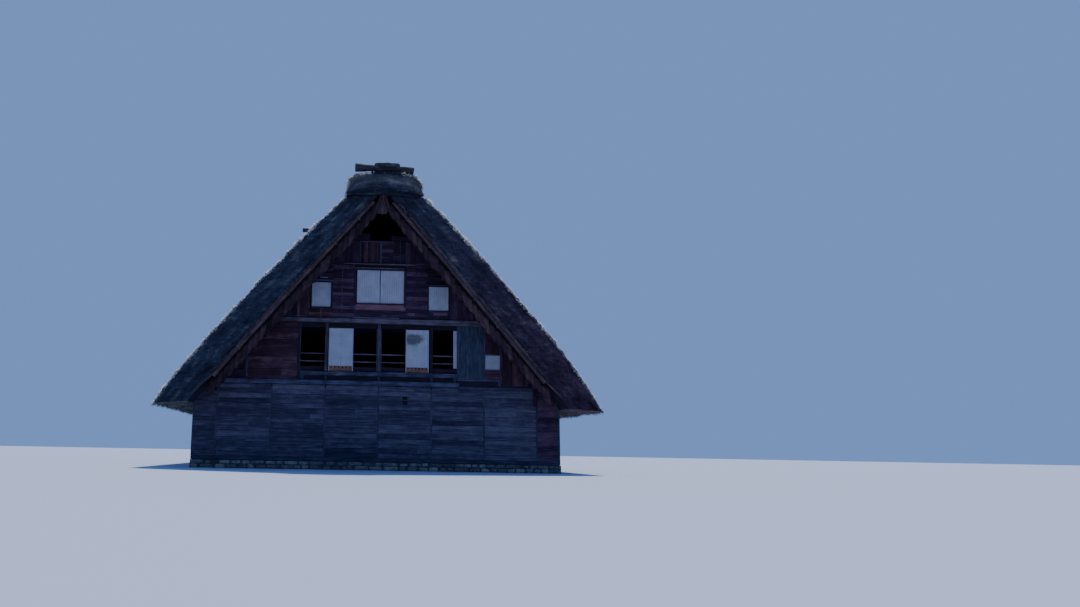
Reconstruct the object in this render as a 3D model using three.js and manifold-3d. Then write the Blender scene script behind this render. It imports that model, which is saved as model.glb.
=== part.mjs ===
// A thatched farmhouse of the steep-roofed mountain kind, seen from its gable end.
// Millimetres. +Z is up, +X is to the right of someone facing the front gable, and the front gable
// faces -Y. The origin lies on the ground at the middle of the house.

import * as THREE from 'three';
import { mergeVertices } from 'three/addons/utils/BufferGeometryUtils.js';
import Module from 'manifold-3d';

// Driving dimensions
const BAY = 2030;
const BAYS_LONG = 9;
const WALL_HALF_WIDTH = 6950;
const WALL_THICKNESS = 120;
const FIT_GAP = 0.4;
const MERGE_TOLERANCE = 1e-3;
const CURVE_STEPS = 8;

const SOFFIT_APEX_Z = 10636;
const ROOF_PITCH = THREE.MathUtils.degToRad(49.6);
const EAVE_INNER_Z = 2400;
const EAVE_TIP_X = 8280;
const EAVE_TIP_Z = 2300;
const THATCH_TOP_X = 1480;
const THATCH_TOP_Z = 10150;
const THATCH_BULGE = 370;
const CAP_UNDERSIDE_Z = 10420;
const VERGE_OVERHANG = 1200;
const VERGE_LEAN = 0.57;

const CAP_HALF_WIDTH = 1440;
const CAP_WAIST = [1375, 10450];
const CAP_SHOULDER = [1340, 10680];
const CAP_BROW = [950, 11010];
const CAP_ROUNDING = [90, 70];
const CAP_TOP = [480, 11100];
const CAP_HALF_LENGTH = 11050;

const PLINTH_TOP_Z = 300;
const PLINTH_MARGIN = 50;
const GROUND_FLOOR_TOP_Z = 450;
const LOWER_BEAM_Z = [3080, 3270];
const SECOND_FLOOR_Z = [3200, 3480];
const SILL_Z = [3510, 3710];
const UPPER_BEAM_Z = [5620, 5820];
const LOFT_FLOOR_Z = [5700, 5860];
const TOP_WALL_Z = [7990, 8870];
const BEAM_PROUD = 150;
const BEAM_END_GAP = 10;
const SILL_PROUD = 60;

const GALLERY_HALF_WIDTH = 3020;
const POST_SIZE = 130;
const RAIL_HEIGHT = 80;
const RAIL_DEPTH = 50;
const RAIL_LAP = 80;
const RAIL_Z = [4000, 4320];
const LEAF_THICKNESS = 36;
const LEAF_SETBACK = 26;
const SHOJI_WIDTH = 945;
const SHOJI_X = [-1470, 1455];

const DOUBLE_WINDOW = { x: 0, width: 1870, z: [6380, 7690] };
const LOFT_WINDOW_LEFT = { x: -2300, width: 780, z: [6200, 7160] };
const LOFT_WINDOW_RIGHT = { x: 2225, width: 750, z: [6160, 7090] };
const GALLERY_SMALL_WINDOW = { x: 4385, width: 530, z: [3910, 4440] };
const BACK_GALLERY_WINDOW = { width: 945, z: [3950, 5420] };
const BACK_SHEET_LAP = 60;
const SHUTTER = { x: [3040, 4110], z: [3490, 5600], thickness: 40 };
const HOOD = { halfWidth: 1340, z: [7750, 7985], depth: 210, board: 60 };

const DOORWAY_HALF_WIDTH = 1015;
const DOORWAY_TOP_Z = 2250;
const DOOR_THICKNESS = 45;

const BARGE_POLE_RADIUS = 75;
const BARGE_POLE_DROP = 20;
const BARGE_POLE_X = [140, 6150];
const REED_BAND_DEPTH = 530;
const REED_BAND_THICKNESS = 150;
const REED_BAND_END_X = 6420;
const APEX_BOARD_FOOT_Z = 9630;

const RIDGE_LOG_RADIUS = 122;
const RIDGE_LOG_LENGTH = 2210;
const RIDGE_LOG_COUNT = 5;
const RIDGE_LOG_SPACING = 5325;
const RIDGE_LOG_SHIFT_X = 50;
const RIDGE_POLE_RADIUS = 102;
const RIDGE_POLE_COUNT = 5;
const RIDGE_POLE_STEP = 195;
const RIDGE_POLE_HALF_LENGTH = 10820;
const RIDGE_POLE_SHIFT_X = 100;
const POLE_SIDES = 12;

// Worked out from the driving dimensions
const WALL_Y = (BAYS_LONG * BAY) / 2;
const WALL_INNER_Y = WALL_Y - WALL_THICKNESS;
const VERGE_Y = WALL_Y + VERGE_OVERHANG;
const TAN = Math.tan(ROOF_PITCH);
const SIN = Math.sin(ROOF_PITCH);
const COS = Math.cos(ROOF_PITCH);
const HALF_FLAT = Math.PI / POLE_SIDES;

// The cap's underside falls from the middle to the top edges of both slopes
const CAP_FALL = (CAP_UNDERSIDE_Z - THATCH_TOP_Z) / THATCH_TOP_X;
const capUnderside = (x) => CAP_UNDERSIDE_Z - CAP_FALL * x;
const THATCH_INNER_TOP_X = (SOFFIT_APEX_Z - CAP_UNDERSIDE_Z) / (TAN - CAP_FALL);

// Half width under the thatch at a height, and the height under the thatch at a distance from the middle
const soffitX = (z, gap = FIT_GAP) => (SOFFIT_APEX_Z - z) / TAN - gap / SIN;
const soffitZ = (x, gap = FIT_GAP) => SOFFIT_APEX_Z - TAN * x - gap / COS;

const finish = (color, roughness) => new THREE.MeshStandardMaterial({ color, roughness, metalness: 0 });
const OLD_THATCH = finish('#4d4a4c', 0.95);
const REED = finish('#5a4a40', 0.95);
const SOOTY_WOOD = finish('#3b2a2b', 0.85);
const GREY_WOOD = finish('#5c6274', 0.85);
const POLE_WOOD = finish('#6d5a50', 0.8);
const PAPER = finish('#dfe6f2', 0.9);
const STONE = finish('#77736d', 0.95);

const house = new THREE.Group();

const wasm = await Module();
wasm.setup();

// A closed geometry as a solid that can be joined or cut, and a solid as a geometry again
function solid(geometry) {
  const bare = geometry.clone();
  bare.deleteAttribute('normal');
  bare.deleteAttribute('uv');
  const merged = mergeVertices(bare, MERGE_TOLERANCE);
  const mesh = new wasm.Mesh({
    numProp: 3,
    vertProperties: new Float32Array(merged.attributes.position.array),
    triVerts: new Uint32Array(merged.index.array),
  });
  return new wasm.Manifold(mesh);
}

function geometryOf(manifold) {
  const { vertProperties, triVerts } = manifold.getMesh();
  const geometry = new THREE.BufferGeometry();
  geometry.setAttribute('position', new THREE.BufferAttribute(new Float32Array(vertProperties), 3));
  geometry.setIndex(new THREE.BufferAttribute(new Uint32Array(triVerts), 1));
  geometry.computeVertexNormals();
  return geometry;
}

function add(name, geometry, material) {
  const mesh = new THREE.Mesh(geometry, material);
  mesh.name = name;
  house.add(mesh);
  return mesh;
}

// A block given by its lowest and highest values on each axis
function block(name, [x0, x1], [y0, y1], [z0, z1], material) {
  const mesh = add(name, new THREE.BoxGeometry(x1 - x0, y1 - y0, z1 - z0), material);
  mesh.position.set((x0 + x1) / 2, (y0 + y1) / 2, (z0 + z1) / 2);
  return mesh;
}

// The range of a given width with its middle at x
const around = (x, width) => [x - width / 2, x + width / 2];

function outline(points) {
  return new THREE.Shape(points.map(([x, z]) => new THREE.Vector2(x, z)));
}

// A solid with its outline in the gable's plane, running along the house from y0 to y1
function alongHouse(shape, y0, y1) {
  const geometry = new THREE.ExtrudeGeometry(shape, {
    depth: y1 - y0,
    bevelEnabled: false,
    curveSegments: CURVE_STEPS,
  });
  geometry.rotateX(Math.PI / 2);
  geometry.translate(0, y1, 0);
  return geometry;
}

// A gable wall between two heights, as wide as the thatch lets it be
function gableOutline(z0, z1) {
  const half = [];
  if (soffitX(z0) > WALL_HALF_WIDTH) {
    half.push([WALL_HALF_WIDTH, z0], [WALL_HALF_WIDTH, soffitZ(WALL_HALF_WIDTH)]);
  } else {
    half.push([soffitX(z0), z0]);
  }
  half.push([soffitX(z1), z1]);
  const mirrored = half.map(([x, z]) => [-x, z]).reverse();
  return outline([...half, ...mirrored]);
}

// The two gables: the front one faces -Y and the back one +Y
const FRONT = { side: 'front', outward: -1 };
const BACK = { side: 'back', outward: 1 };

// The y range of a layer that lies between two distances outward from the wall's outer face
function gableLayer({ outward }, from, to) {
  const a = outward * (WALL_Y + from);
  const b = outward * (WALL_Y + to);
  return [Math.min(a, b), Math.max(a, b)];
}

// A gable wall with its windows cut through
function gableWall(name, gable, shape, material, windows = []) {
  const layer = gableLayer(gable, -WALL_THICKNESS, 0);
  const wall = alongHouse(shape, ...layer);
  if (windows.length === 0) {
    add(name, wall, material);
    return;
  }
  let cut = solid(wall);
  for (const { x, width, z } of windows) {
    const opening = new THREE.BoxGeometry(width, 2 * WALL_THICKNESS, z[1] - z[0]);
    opening.translate(x, (layer[0] + layer[1]) / 2, (z[0] + z[1]) / 2);
    cut = cut.subtract(solid(opening));
  }
  add(name, geometryOf(cut), material);
}

// Stone and earth plinth, and the floors that the door and the window rows show
function foundationAndFloors() {
  const plinthX = WALL_HALF_WIDTH + PLINTH_MARGIN;
  const plinthY = WALL_Y + PLINTH_MARGIN;
  block('foundation', [-plinthX, plinthX], [-plinthY, plinthY], [0, PLINTH_TOP_Z], STONE);
  const inside = WALL_HALF_WIDTH - WALL_THICKNESS;
  const between = [-WALL_INNER_Y, WALL_INNER_Y];
  block('ground_floor', [-inside, inside], between, [PLINTH_TOP_Z, GROUND_FLOOR_TOP_Z], SOOTY_WOOD);
  for (const [name, height] of [['second_floor', SECOND_FLOOR_Z], ['loft_floor', LOFT_FLOOR_Z]]) {
    const half = soffitX(height[1]);
    block(name, [-half, half], between, height, SOOTY_WOOD);
  }
}

// Ground storey walls: the long sides end in a slope under the thatch
function lowerWalls() {
  for (const gable of [FRONT, BACK]) {
    gableWall(`lower_wall_${gable.side}`, gable, gableOutline(PLINTH_TOP_Z, LOWER_BEAM_Z[0]), GREY_WOOD);
  }
  const inside = WALL_HALF_WIDTH - WALL_THICKNESS;
  const sideSection = (sign, z0) => outline([
    [sign * inside, z0],
    [sign * WALL_HALF_WIDTH, z0],
    [sign * WALL_HALF_WIDTH, soffitZ(WALL_HALF_WIDTH)],
    [sign * inside, soffitZ(inside)],
  ]);
  const side = (name, sign, z0, y0, y1) => add(name, alongHouse(sideSection(sign, z0), y0, y1), GREY_WOOD);
  side('lower_wall_left', -1, PLINTH_TOP_Z, -WALL_INNER_Y, WALL_INNER_Y);
  side('lower_wall_right_front', 1, PLINTH_TOP_Z, -WALL_INNER_Y, -DOORWAY_HALF_WIDTH);
  side('lower_wall_right_rear', 1, PLINTH_TOP_Z, DOORWAY_HALF_WIDTH, WALL_INNER_Y);
  side('door_lintel', 1, DOORWAY_TOP_Z, -DOORWAY_HALF_WIDTH, DOORWAY_HALF_WIDTH);
  block(
    'entrance_door',
    [inside - DOOR_THICKNESS, inside],
    [DOORWAY_HALF_WIDTH, DOORWAY_HALF_WIDTH + BAY],
    [GROUND_FLOOR_TOP_Z, DOORWAY_TOP_Z],
    SOOTY_WOOD,
  );
}

// Beams across each gable, standing proud of the boards
function gableBeams(gable) {
  const depth = gableLayer(gable, -WALL_THICKNESS, BEAM_PROUD);
  for (const [name, [z0, z1]] of [['lower', LOWER_BEAM_Z], ['upper', UPPER_BEAM_Z]]) {
    const half = soffitX(z1) - BEAM_END_GAP;
    block(`beam_${gable.side}_${name}`, [-half, half], depth, [z0, z1], GREY_WOOD);
  }
}

// The sill under the gallery with the short stubs that carry it, as one frame on the lower beam
function gallerySill() {
  const postX = [-BAY, 0, BAY];
  const stubs = [-GALLERY_HALF_WIDTH + POST_SIZE / 2, ...postX, GALLERY_HALF_WIDTH - POST_SIZE / 2];
  const points = [[GALLERY_HALF_WIDTH, SILL_Z[1]], [-GALLERY_HALF_WIDTH, SILL_Z[1]]];
  for (const x of stubs) {
    const [left, right] = around(x, POST_SIZE);
    if (x !== stubs[0]) points.push([left, SILL_Z[0]]);
    points.push([left, LOWER_BEAM_Z[1]], [right, LOWER_BEAM_Z[1]]);
    if (x !== stubs[stubs.length - 1]) points.push([right, SILL_Z[0]]);
  }
  const depth = gableLayer(FRONT, -WALL_THICKNESS, SILL_PROUD);
  add('gallery_sill_front', alongHouse(outline(points), ...depth), SOOTY_WOOD);
}

// Posts, two rails behind them, and the paper leaves that close two of the gallery's bays
function gallery() {
  gallerySill();
  const clear = [SILL_Z[1], UPPER_BEAM_Z[0]];
  const wallDepth = gableLayer(FRONT, -WALL_THICKNESS, 0);
  const railDepth = gableLayer(FRONT, -WALL_THICKNESS - RAIL_DEPTH, -WALL_THICKNESS);
  const leafDepth = gableLayer(FRONT, -LEAF_SETBACK - LEAF_THICKNESS, -LEAF_SETBACK);
  [-BAY, 0, BAY].forEach((x, i) => {
    block(`gallery_post_${i + 1}`, around(x, POST_SIZE), wallDepth, clear, SOOTY_WOOD);
  });
  const railLength = 2 * (GALLERY_HALF_WIDTH + RAIL_LAP);
  ['lower', 'upper'].forEach((name, i) => {
    const height = [RAIL_Z[i], RAIL_Z[i] + RAIL_HEIGHT];
    block(`gallery_rail_${name}`, around(0, railLength), railDepth, height, SOOTY_WOOD);
  });
  SHOJI_X.forEach((x, i) => {
    block(`gallery_shoji_${i + 1}`, around(x, SHOJI_WIDTH), leafDepth, clear, PAPER);
  });
}

// Boarded walls on both sides of the gallery, the right one with a small window
function galleryWalls() {
  const [z0, z1] = [LOWER_BEAM_Z[1], UPPER_BEAM_Z[0]];
  const flank = (sign) => outline([
    [sign * GALLERY_HALF_WIDTH, z0],
    [sign * soffitX(z0), z0],
    [sign * soffitX(z1), z1],
    [sign * GALLERY_HALF_WIDTH, z1],
  ]);
  gableWall('gable_wall_front_left', FRONT, flank(-1), SOOTY_WOOD);
  gableWall('gable_wall_front_right', FRONT, flank(1), SOOTY_WOOD, [GALLERY_SMALL_WINDOW]);
  windowLeaf('gallery_window_right', FRONT, GALLERY_SMALL_WINDOW);
  block('gallery_shutter', SHUTTER.x, gableLayer(FRONT, 0, SHUTTER.thickness), SHUTTER.z, GREY_WOOD);
}

function windowLeaf(name, gable, { x, width, z }) {
  const depth = gableLayer(gable, -LEAF_SETBACK - LEAF_THICKNESS, -LEAF_SETBACK);
  block(name, around(x, width), depth, z, PAPER);
}

// Loft storey: a double window between two small ones
function loftWall(gable) {
  const windows = [DOUBLE_WINDOW, LOFT_WINDOW_LEFT, LOFT_WINDOW_RIGHT];
  const wall = gableOutline(UPPER_BEAM_Z[1], TOP_WALL_Z[0]);
  gableWall(`gable_wall_${gable.side}_loft`, gable, wall, SOOTY_WOOD, windows);
  gableWall(`gable_wall_${gable.side}_top`, gable, gableOutline(...TOP_WALL_Z), SOOTY_WOOD);
}

function loftWindowsFront() {
  const { width, z } = DOUBLE_WINDOW;
  windowLeaf('loft_window_left_leaf', FRONT, { x: -width / 4, width: width / 2, z });
  windowLeaf('loft_window_right_leaf', FRONT, { x: width / 4, width: width / 2, z });
  windowLeaf('loft_window_small_left', FRONT, LOFT_WINDOW_LEFT);
  windowLeaf('loft_window_small_right', FRONT, LOFT_WINDOW_RIGHT);
}

// A thin board hood over the double window, sloping outward
function hood() {
  const { halfWidth, z, depth, board } = HOOD;
  const section = new THREE.Shape([
    new THREE.Vector2(0, z[0] + board),
    new THREE.Vector2(depth, z[0]),
    new THREE.Vector2(depth, z[0] + board),
    new THREE.Vector2(0, z[1]),
  ]);
  const geometry = new THREE.ExtrudeGeometry(section, { depth: 2 * halfWidth, bevelEnabled: false });
  geometry.rotateX(Math.PI / 2);
  geometry.rotateZ(-Math.PI / 2);
  geometry.translate(halfWidth, -WALL_Y, 0);
  add('hood_front', geometry, GREY_WOOD);
}

// The back gable plainly repeats the storeys: one sheet of paper leaves closes each window row
function backGable() {
  const row = [-BAY, 0, BAY].map((x) => ({ ...BACK_GALLERY_WINDOW, x }));
  gableWall('gable_wall_back_gallery', BACK, gableOutline(LOWER_BEAM_Z[1], UPPER_BEAM_Z[0]), SOOTY_WOOD, row);
  const sheet = gableLayer(BACK, -WALL_THICKNESS - LEAF_THICKNESS, -WALL_THICKNESS);
  const lapped = ([z0, z1]) => [z0 - BACK_SHEET_LAP, z1 + BACK_SHEET_LAP];
  const rowWidth = 2 * (BAY + BACK_SHEET_LAP) + BACK_GALLERY_WINDOW.width;
  block('gallery_windows_back', around(0, rowWidth), sheet, lapped(BACK_GALLERY_WINDOW.z), PAPER);
  const loftWidth = DOUBLE_WINDOW.width + 2 * BACK_SHEET_LAP;
  block('loft_window_back', around(0, loftWidth), sheet, lapped(DOUBLE_WINDOW.z), PAPER);
  windowLeaf('loft_window_back_small_left', BACK, LOFT_WINDOW_LEFT);
  windowLeaf('loft_window_back_small_right', BACK, LOFT_WINDOW_RIGHT);
}

// One slope of thatch. Its ends lean outward, so the outer edge of the verge overhangs the inner one.
function thatch(name, sign) {
  const eaveInnerX = soffitX(EAVE_INNER_Z, 0);
  const run = EAVE_TIP_X - THATCH_TOP_X;
  const drop = THATCH_TOP_Z - EAVE_TIP_Z;
  const length = Math.hypot(run, drop);
  const control = [
    (EAVE_TIP_X + THATCH_TOP_X) / 2 + (THATCH_BULGE * drop) / length,
    (EAVE_TIP_Z + THATCH_TOP_Z) / 2 + (THATCH_BULGE * run) / length,
  ];
  const shape = new THREE.Shape();
  shape.moveTo(sign * THATCH_INNER_TOP_X, capUnderside(THATCH_INNER_TOP_X));
  shape.lineTo(sign * eaveInnerX, EAVE_INNER_Z);
  shape.lineTo(sign * EAVE_TIP_X, EAVE_TIP_Z);
  shape.quadraticCurveTo(sign * control[0], control[1], sign * THATCH_TOP_X, THATCH_TOP_Z);
  shape.closePath();
  const geometry = alongHouse(shape, -VERGE_Y, VERGE_Y);
  const position = geometry.attributes.position;
  for (let i = 0; i < position.count; i += 1) {
    const above = (position.getZ(i) - soffitZ(sign * position.getX(i), 0)) * COS;
    const lean = VERGE_LEAN * Math.max(0, above);
    position.setY(i, Math.sign(position.getY(i)) * (VERGE_Y + lean));
  }
  add(name, geometry, OLD_THATCH);
}

// The barrel of thatch that closes the ridge: its underside follows the top of both slopes
function ridgeCap() {
  const side = (sign) => {
    const edge = [CAP_HALF_WIDTH, capUnderside(CAP_HALF_WIDTH) + FIT_GAP];
    return [edge, CAP_WAIST, CAP_SHOULDER].map(([x, z]) => [sign * x, z]);
  };
  const bendX = CAP_SHOULDER[0] - CAP_ROUNDING[0];
  const bendZ = CAP_BROW[1] - CAP_ROUNDING[1];
  const shape = new THREE.Shape();
  shape.moveTo(0, capUnderside(0) + FIT_GAP);
  for (const [x, z] of side(1)) shape.lineTo(x, z);
  shape.quadraticCurveTo(bendX, bendZ, ...CAP_BROW);
  shape.lineTo(...CAP_TOP);
  shape.lineTo(-CAP_TOP[0], CAP_TOP[1]);
  shape.lineTo(-CAP_BROW[0], CAP_BROW[1]);
  shape.quadraticCurveTo(-bendX, bendZ, -CAP_SHOULDER[0], CAP_SHOULDER[1]);
  for (const [x, z] of side(-1).reverse().slice(1)) shape.lineTo(x, z);
  shape.closePath();
  add('ridge_cap', alongHouse(shape, -CAP_HALF_LENGTH, CAP_HALF_LENGTH), OLD_THATCH);
}

// Under each verge: a band of reed bundles below the thatch, which boards close at the apex, and a
// pole in front of it
function verge(gable, name, sign) {
  const bandTop = (x) => soffitZ(x);
  const bandDrop = REED_BAND_DEPTH / COS;
  const across = REED_BAND_DEPTH * SIN;
  const middle = FIT_GAP;
  const footX = (bandTop(0) - bandDrop - APEX_BOARD_FOOT_Z) / TAN;
  const topX = THATCH_INNER_TOP_X - FIT_GAP;
  const band = outline([
    [sign * middle, capUnderside(middle)],
    [sign * middle, APEX_BOARD_FOOT_Z],
    [sign * footX, APEX_BOARD_FOOT_Z],
    [sign * (REED_BAND_END_X - across), bandTop(REED_BAND_END_X) - REED_BAND_DEPTH * COS],
    [sign * REED_BAND_END_X, bandTop(REED_BAND_END_X)],
    [sign * topX, bandTop(topX)],
  ]);
  const bandLayer = gableLayer(gable, VERGE_OVERHANG - REED_BAND_THICKNESS, VERGE_OVERHANG);
  add(`verge_band_${gable.side}_${name}`, alongHouse(band, ...bandLayer), REED);

  const drop = (BARGE_POLE_RADIUS + BARGE_POLE_DROP) / COS;
  const [start, end] = BARGE_POLE_X.map((x) => new THREE.Vector3(sign * x, 0, soffitZ(x) - drop));
  const length = start.distanceTo(end);
  const pole = new THREE.CylinderGeometry(BARGE_POLE_RADIUS, BARGE_POLE_RADIUS, length, POLE_SIDES);
  pole.rotateY(-Math.atan2(end.z - start.z, end.x - start.x) - HALF_FLAT);
  const mesh = add(`barge_pole_${gable.side}_${name}`, pole, POLE_WOOD);
  mesh.position.copy(start).add(end).multiplyScalar(0.5);
  mesh.position.y = gable.outward * (VERGE_Y + BARGE_POLE_RADIUS * Math.cos(HALF_FLAT) + FIT_GAP);
  mesh.quaternion.setFromUnitVectors(new THREE.Vector3(0, 1, 0), end.clone().sub(start).normalize());
}

// Logs laid across the ridge, and the long poles tied side by side on top of them
function ridgeTimber() {
  const logHalfHeight = RIDGE_LOG_RADIUS * Math.cos(HALF_FLAT);
  const logZ = CAP_TOP[1] + FIT_GAP + logHalfHeight;
  for (let i = 0; i < RIDGE_LOG_COUNT; i += 1) {
    const log = new THREE.CylinderGeometry(RIDGE_LOG_RADIUS, RIDGE_LOG_RADIUS, RIDGE_LOG_LENGTH, POLE_SIDES);
    log.rotateY(HALF_FLAT);
    const mesh = add(`ridge_log_${i + 1}`, log, GREY_WOOD);
    mesh.rotation.z = Math.PI / 2;
    mesh.position.set(RIDGE_LOG_SHIFT_X, (i - (RIDGE_LOG_COUNT - 1) / 2) * RIDGE_LOG_SPACING, logZ);
  }
  let poles = null;
  for (let i = 0; i < RIDGE_POLE_COUNT; i += 1) {
    const length = 2 * RIDGE_POLE_HALF_LENGTH;
    const geometry = new THREE.CylinderGeometry(RIDGE_POLE_RADIUS, RIDGE_POLE_RADIUS, length, POLE_SIDES);
    geometry.translate((i - (RIDGE_POLE_COUNT - 1) / 2) * RIDGE_POLE_STEP, 0, 0);
    const pole = solid(geometry);
    poles = poles ? poles.add(pole) : pole;
  }
  const mesh = add('ridge_poles', geometryOf(poles), POLE_WOOD);
  mesh.position.set(RIDGE_POLE_SHIFT_X, 0, logZ + logHalfHeight + FIT_GAP + RIDGE_POLE_RADIUS);
}

foundationAndFloors();
lowerWalls();
for (const gable of [FRONT, BACK]) {
  gableBeams(gable);
  loftWall(gable);
  verge(gable, 'left', -1);
  verge(gable, 'right', 1);
}
gallery();
galleryWalls();
loftWindowsFront();
hood();
backGable();
thatch('thatch_left', -1);
thatch('thatch_right', 1);
ridgeCap();
ridgeTimber();

export default house;
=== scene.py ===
# A thatched farmhouse of the steep-roofed mountain kind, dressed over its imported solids.
# Metres, in the frame of the solids: +Z is up, the front gable faces -Y and the ground is z = 0.
import math

import bmesh
import bpy
import numpy as np
from mathutils import Matrix, Vector, noise


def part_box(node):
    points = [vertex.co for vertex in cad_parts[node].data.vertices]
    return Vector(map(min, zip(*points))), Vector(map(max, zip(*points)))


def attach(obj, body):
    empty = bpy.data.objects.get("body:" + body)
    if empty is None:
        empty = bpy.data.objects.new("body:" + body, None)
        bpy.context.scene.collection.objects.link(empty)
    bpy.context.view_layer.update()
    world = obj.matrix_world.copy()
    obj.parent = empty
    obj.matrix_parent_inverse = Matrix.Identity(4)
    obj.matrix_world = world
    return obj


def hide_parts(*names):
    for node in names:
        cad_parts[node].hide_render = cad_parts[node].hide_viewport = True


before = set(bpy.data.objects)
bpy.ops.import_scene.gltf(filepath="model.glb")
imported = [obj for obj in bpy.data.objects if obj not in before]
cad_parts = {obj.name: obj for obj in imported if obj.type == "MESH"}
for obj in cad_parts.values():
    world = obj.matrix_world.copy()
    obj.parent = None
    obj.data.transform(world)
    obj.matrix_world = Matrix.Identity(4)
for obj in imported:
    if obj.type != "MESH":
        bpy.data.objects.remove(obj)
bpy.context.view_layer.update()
# The offsets of the vector noise that bends the poles come from the clock unless they are seeded
NOISE_SEED = 7
noise.seed_set(NOISE_SEED)


# The camera
# The photograph is cropped from a wider one, so the middle of its lens lies left of the middle of the
# picture. It was taken low down, 33 m in front of the gable, and it leans a little to the right.
PHOTO_WIDTH_PX = 1080
LENS_CENTRE_PX = 376
FOCAL_PX = 870
SENSOR_MM = 36
FARTHEST = 1000
EYE = Vector((-1.76, -42.435, 0.73))
YAW = math.radians(2.76)
PITCH = math.radians(9.61)
ROLL = math.radians(1.05)

look = Vector((math.sin(YAW) * math.cos(PITCH), math.cos(YAW) * math.cos(PITCH), math.sin(PITCH)))
level = Vector((math.cos(YAW), -math.sin(YAW), 0))
upright = level.cross(look)
right = level * math.cos(ROLL) + upright * math.sin(ROLL)
up = upright * math.cos(ROLL) - level * math.sin(ROLL)

camera_data = bpy.data.cameras.new("camera")
camera_data.sensor_width = SENSOR_MM
camera_data.lens = FOCAL_PX / PHOTO_WIDTH_PX * SENSOR_MM
camera_data.shift_x = (PHOTO_WIDTH_PX / 2 - LENS_CENTRE_PX) / PHOTO_WIDTH_PX
camera_data.clip_end = FARTHEST
camera = bpy.data.objects.new("camera", camera_data)
bpy.context.scene.collection.objects.link(camera)
camera.matrix_world = Matrix.Translation(EYE) @ Matrix((right, up, -look)).transposed().to_4x4()
bpy.context.scene.camera = camera


# The studio
# A pale matt floor under a soft cool sky of light. One stronger, warmer light stands high behind the
# house, so that the gable is in shade and the rims of the thatch catch it, as in the photograph.
FLOOR_SIZE = 600
FLOOR_COLOURS = ("#a6b5d2", "#abb9d5")
SKY_COLOUR = "#86aef6"
SKY_STRENGTH = 0.71
SUN_COLOUR = "#fff3e2"
SUN_STRENGTH = 4.3
SUN_ANGLE = math.radians(3)
SUN_HEIGHT = math.radians(64)
SUN_TURN = math.radians(-20)
# Paint, reed, wood, paper and stone all bend light about this much
NATURAL_IOR = 1.5


def linear(hex_colour):
    """An sRGB hex value as the linear colour that Blender's sockets take."""
    values = [int(hex_colour[i:i + 2], 16) / 255 for i in (1, 3, 5)]
    return tuple(v / 12.92 if v <= 0.04045 else ((v + 0.055) / 1.055) ** 2.4 for v in values) + (1.0,)


def add_node(tree, kind, settings=None, links=None):
    """Adds a node with its properties, sockets and colour stops set, and feeds its sockets. A node that is
    given as a source stands for its first output."""
    node = tree.nodes.new(f"ShaderNode{kind}")
    for key, value in (settings or {}).items():
        if key == "stops":
            stops = node.color_ramp.elements
            while len(stops) < len(value):
                stops.new(1.0)
            for stop, (place, colour) in zip(stops, value):
                stop.position = place
                stop.color = linear(colour)
        elif isinstance(key, int) or key in node.inputs:
            node.inputs[key].default_value = value
        else:
            setattr(node, key, value)
    for key, source in (links or {}).items():
        output = source.outputs[0] if isinstance(source, bpy.types.Node) else source
        tree.links.new(output, node.inputs[key])
    return node


def start_material(name, roughness, specular=0.5):
    """A new material with its node tree and its shader, whose constant sockets are set here."""
    material = bpy.data.materials.new(name)
    material.use_nodes = True
    shader = material.node_tree.nodes["Principled BSDF"]
    shader.inputs["Roughness"].default_value = roughness
    shader.inputs["IOR"].default_value = NATURAL_IOR
    shader.inputs["Specular IOR Level"].default_value = specular
    return material, material.node_tree, shader


floor_paint, floor_tree, floor_shader = start_material("matt_floor_paint", 0.95)
roller = add_node(floor_tree, "TexNoise", {"Scale": 0.4, "Detail": 3})
floor_tint = add_node(floor_tree, "ValToRGB", {"stops": list(zip((0.3, 0.7), FLOOR_COLOURS))}, {0: roller})
floor_tree.links.new(floor_tint.outputs[0], floor_shader.inputs["Base Color"])

half = FLOOR_SIZE / 2
floor_mesh = bpy.data.meshes.new("studio_floor")
floor_corners = [(-half, -half, 0), (half, -half, 0), (half, half, 0), (-half, half, 0)]
floor_mesh.from_pydata(floor_corners, [], [(0, 1, 2, 3)])
floor_mesh.materials.append(floor_paint)
studio_floor = bpy.data.objects.new("studio_floor", floor_mesh)
bpy.context.scene.collection.objects.link(studio_floor)

world = bpy.data.worlds.new("studio_sky")
world.use_nodes = True
sky = world.node_tree.nodes["Background"]
sky.inputs["Color"].default_value = linear(SKY_COLOUR)
sky.inputs["Strength"].default_value = SKY_STRENGTH
bpy.context.scene.world = world

sun_data = bpy.data.lights.new("high_back_light", "SUN")
sun_data.color = linear(SUN_COLOUR)[:3]
sun_data.energy = SUN_STRENGTH
sun_data.angle = SUN_ANGLE
sun = bpy.data.objects.new("high_back_light", sun_data)
sun_way = Vector((-math.sin(SUN_TURN) * math.cos(SUN_HEIGHT), math.cos(SUN_TURN) * math.cos(SUN_HEIGHT),
                  math.sin(SUN_HEIGHT)))
sun.rotation_euler = sun_way.to_track_quat("Z", "Y").to_euler()
bpy.context.scene.collection.objects.link(sun)


# The two slopes of thatch
# Reed laid in sheaves with its cut ends outward, about a metre thick, trimmed with shears and weathered
# grey. The ends lean outward, so that the outer edge of each verge overhangs the inner one.
FACING = {"front": -1, "back": 1}
SIGN = {"left": -1, "right": 1}
PITCH_ANGLE = math.radians(49.6)
SOFFIT_APEX_Z = 10.636
EAVE_INNER_Z = 2.4
THATCH_TOP = (1.48, 10.15)
THATCH_BULGE = 0.36
THATCH_DEPTH = 1.3
CAP_UNDERSIDE_Z = 10.42
VERGE_OVERHANG = 1.2
VERGE_LEAN = 0.57
RIM_DEPTH = 0.24
RIM_ROUNDING = 0.15
RIM_LIFT = {"thatch_left": 0.03, "thatch_right": 0.18}
RIM_LIFT_REACH = 0.9
SLOPE_STEPS = (136, 20, 96)
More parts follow.
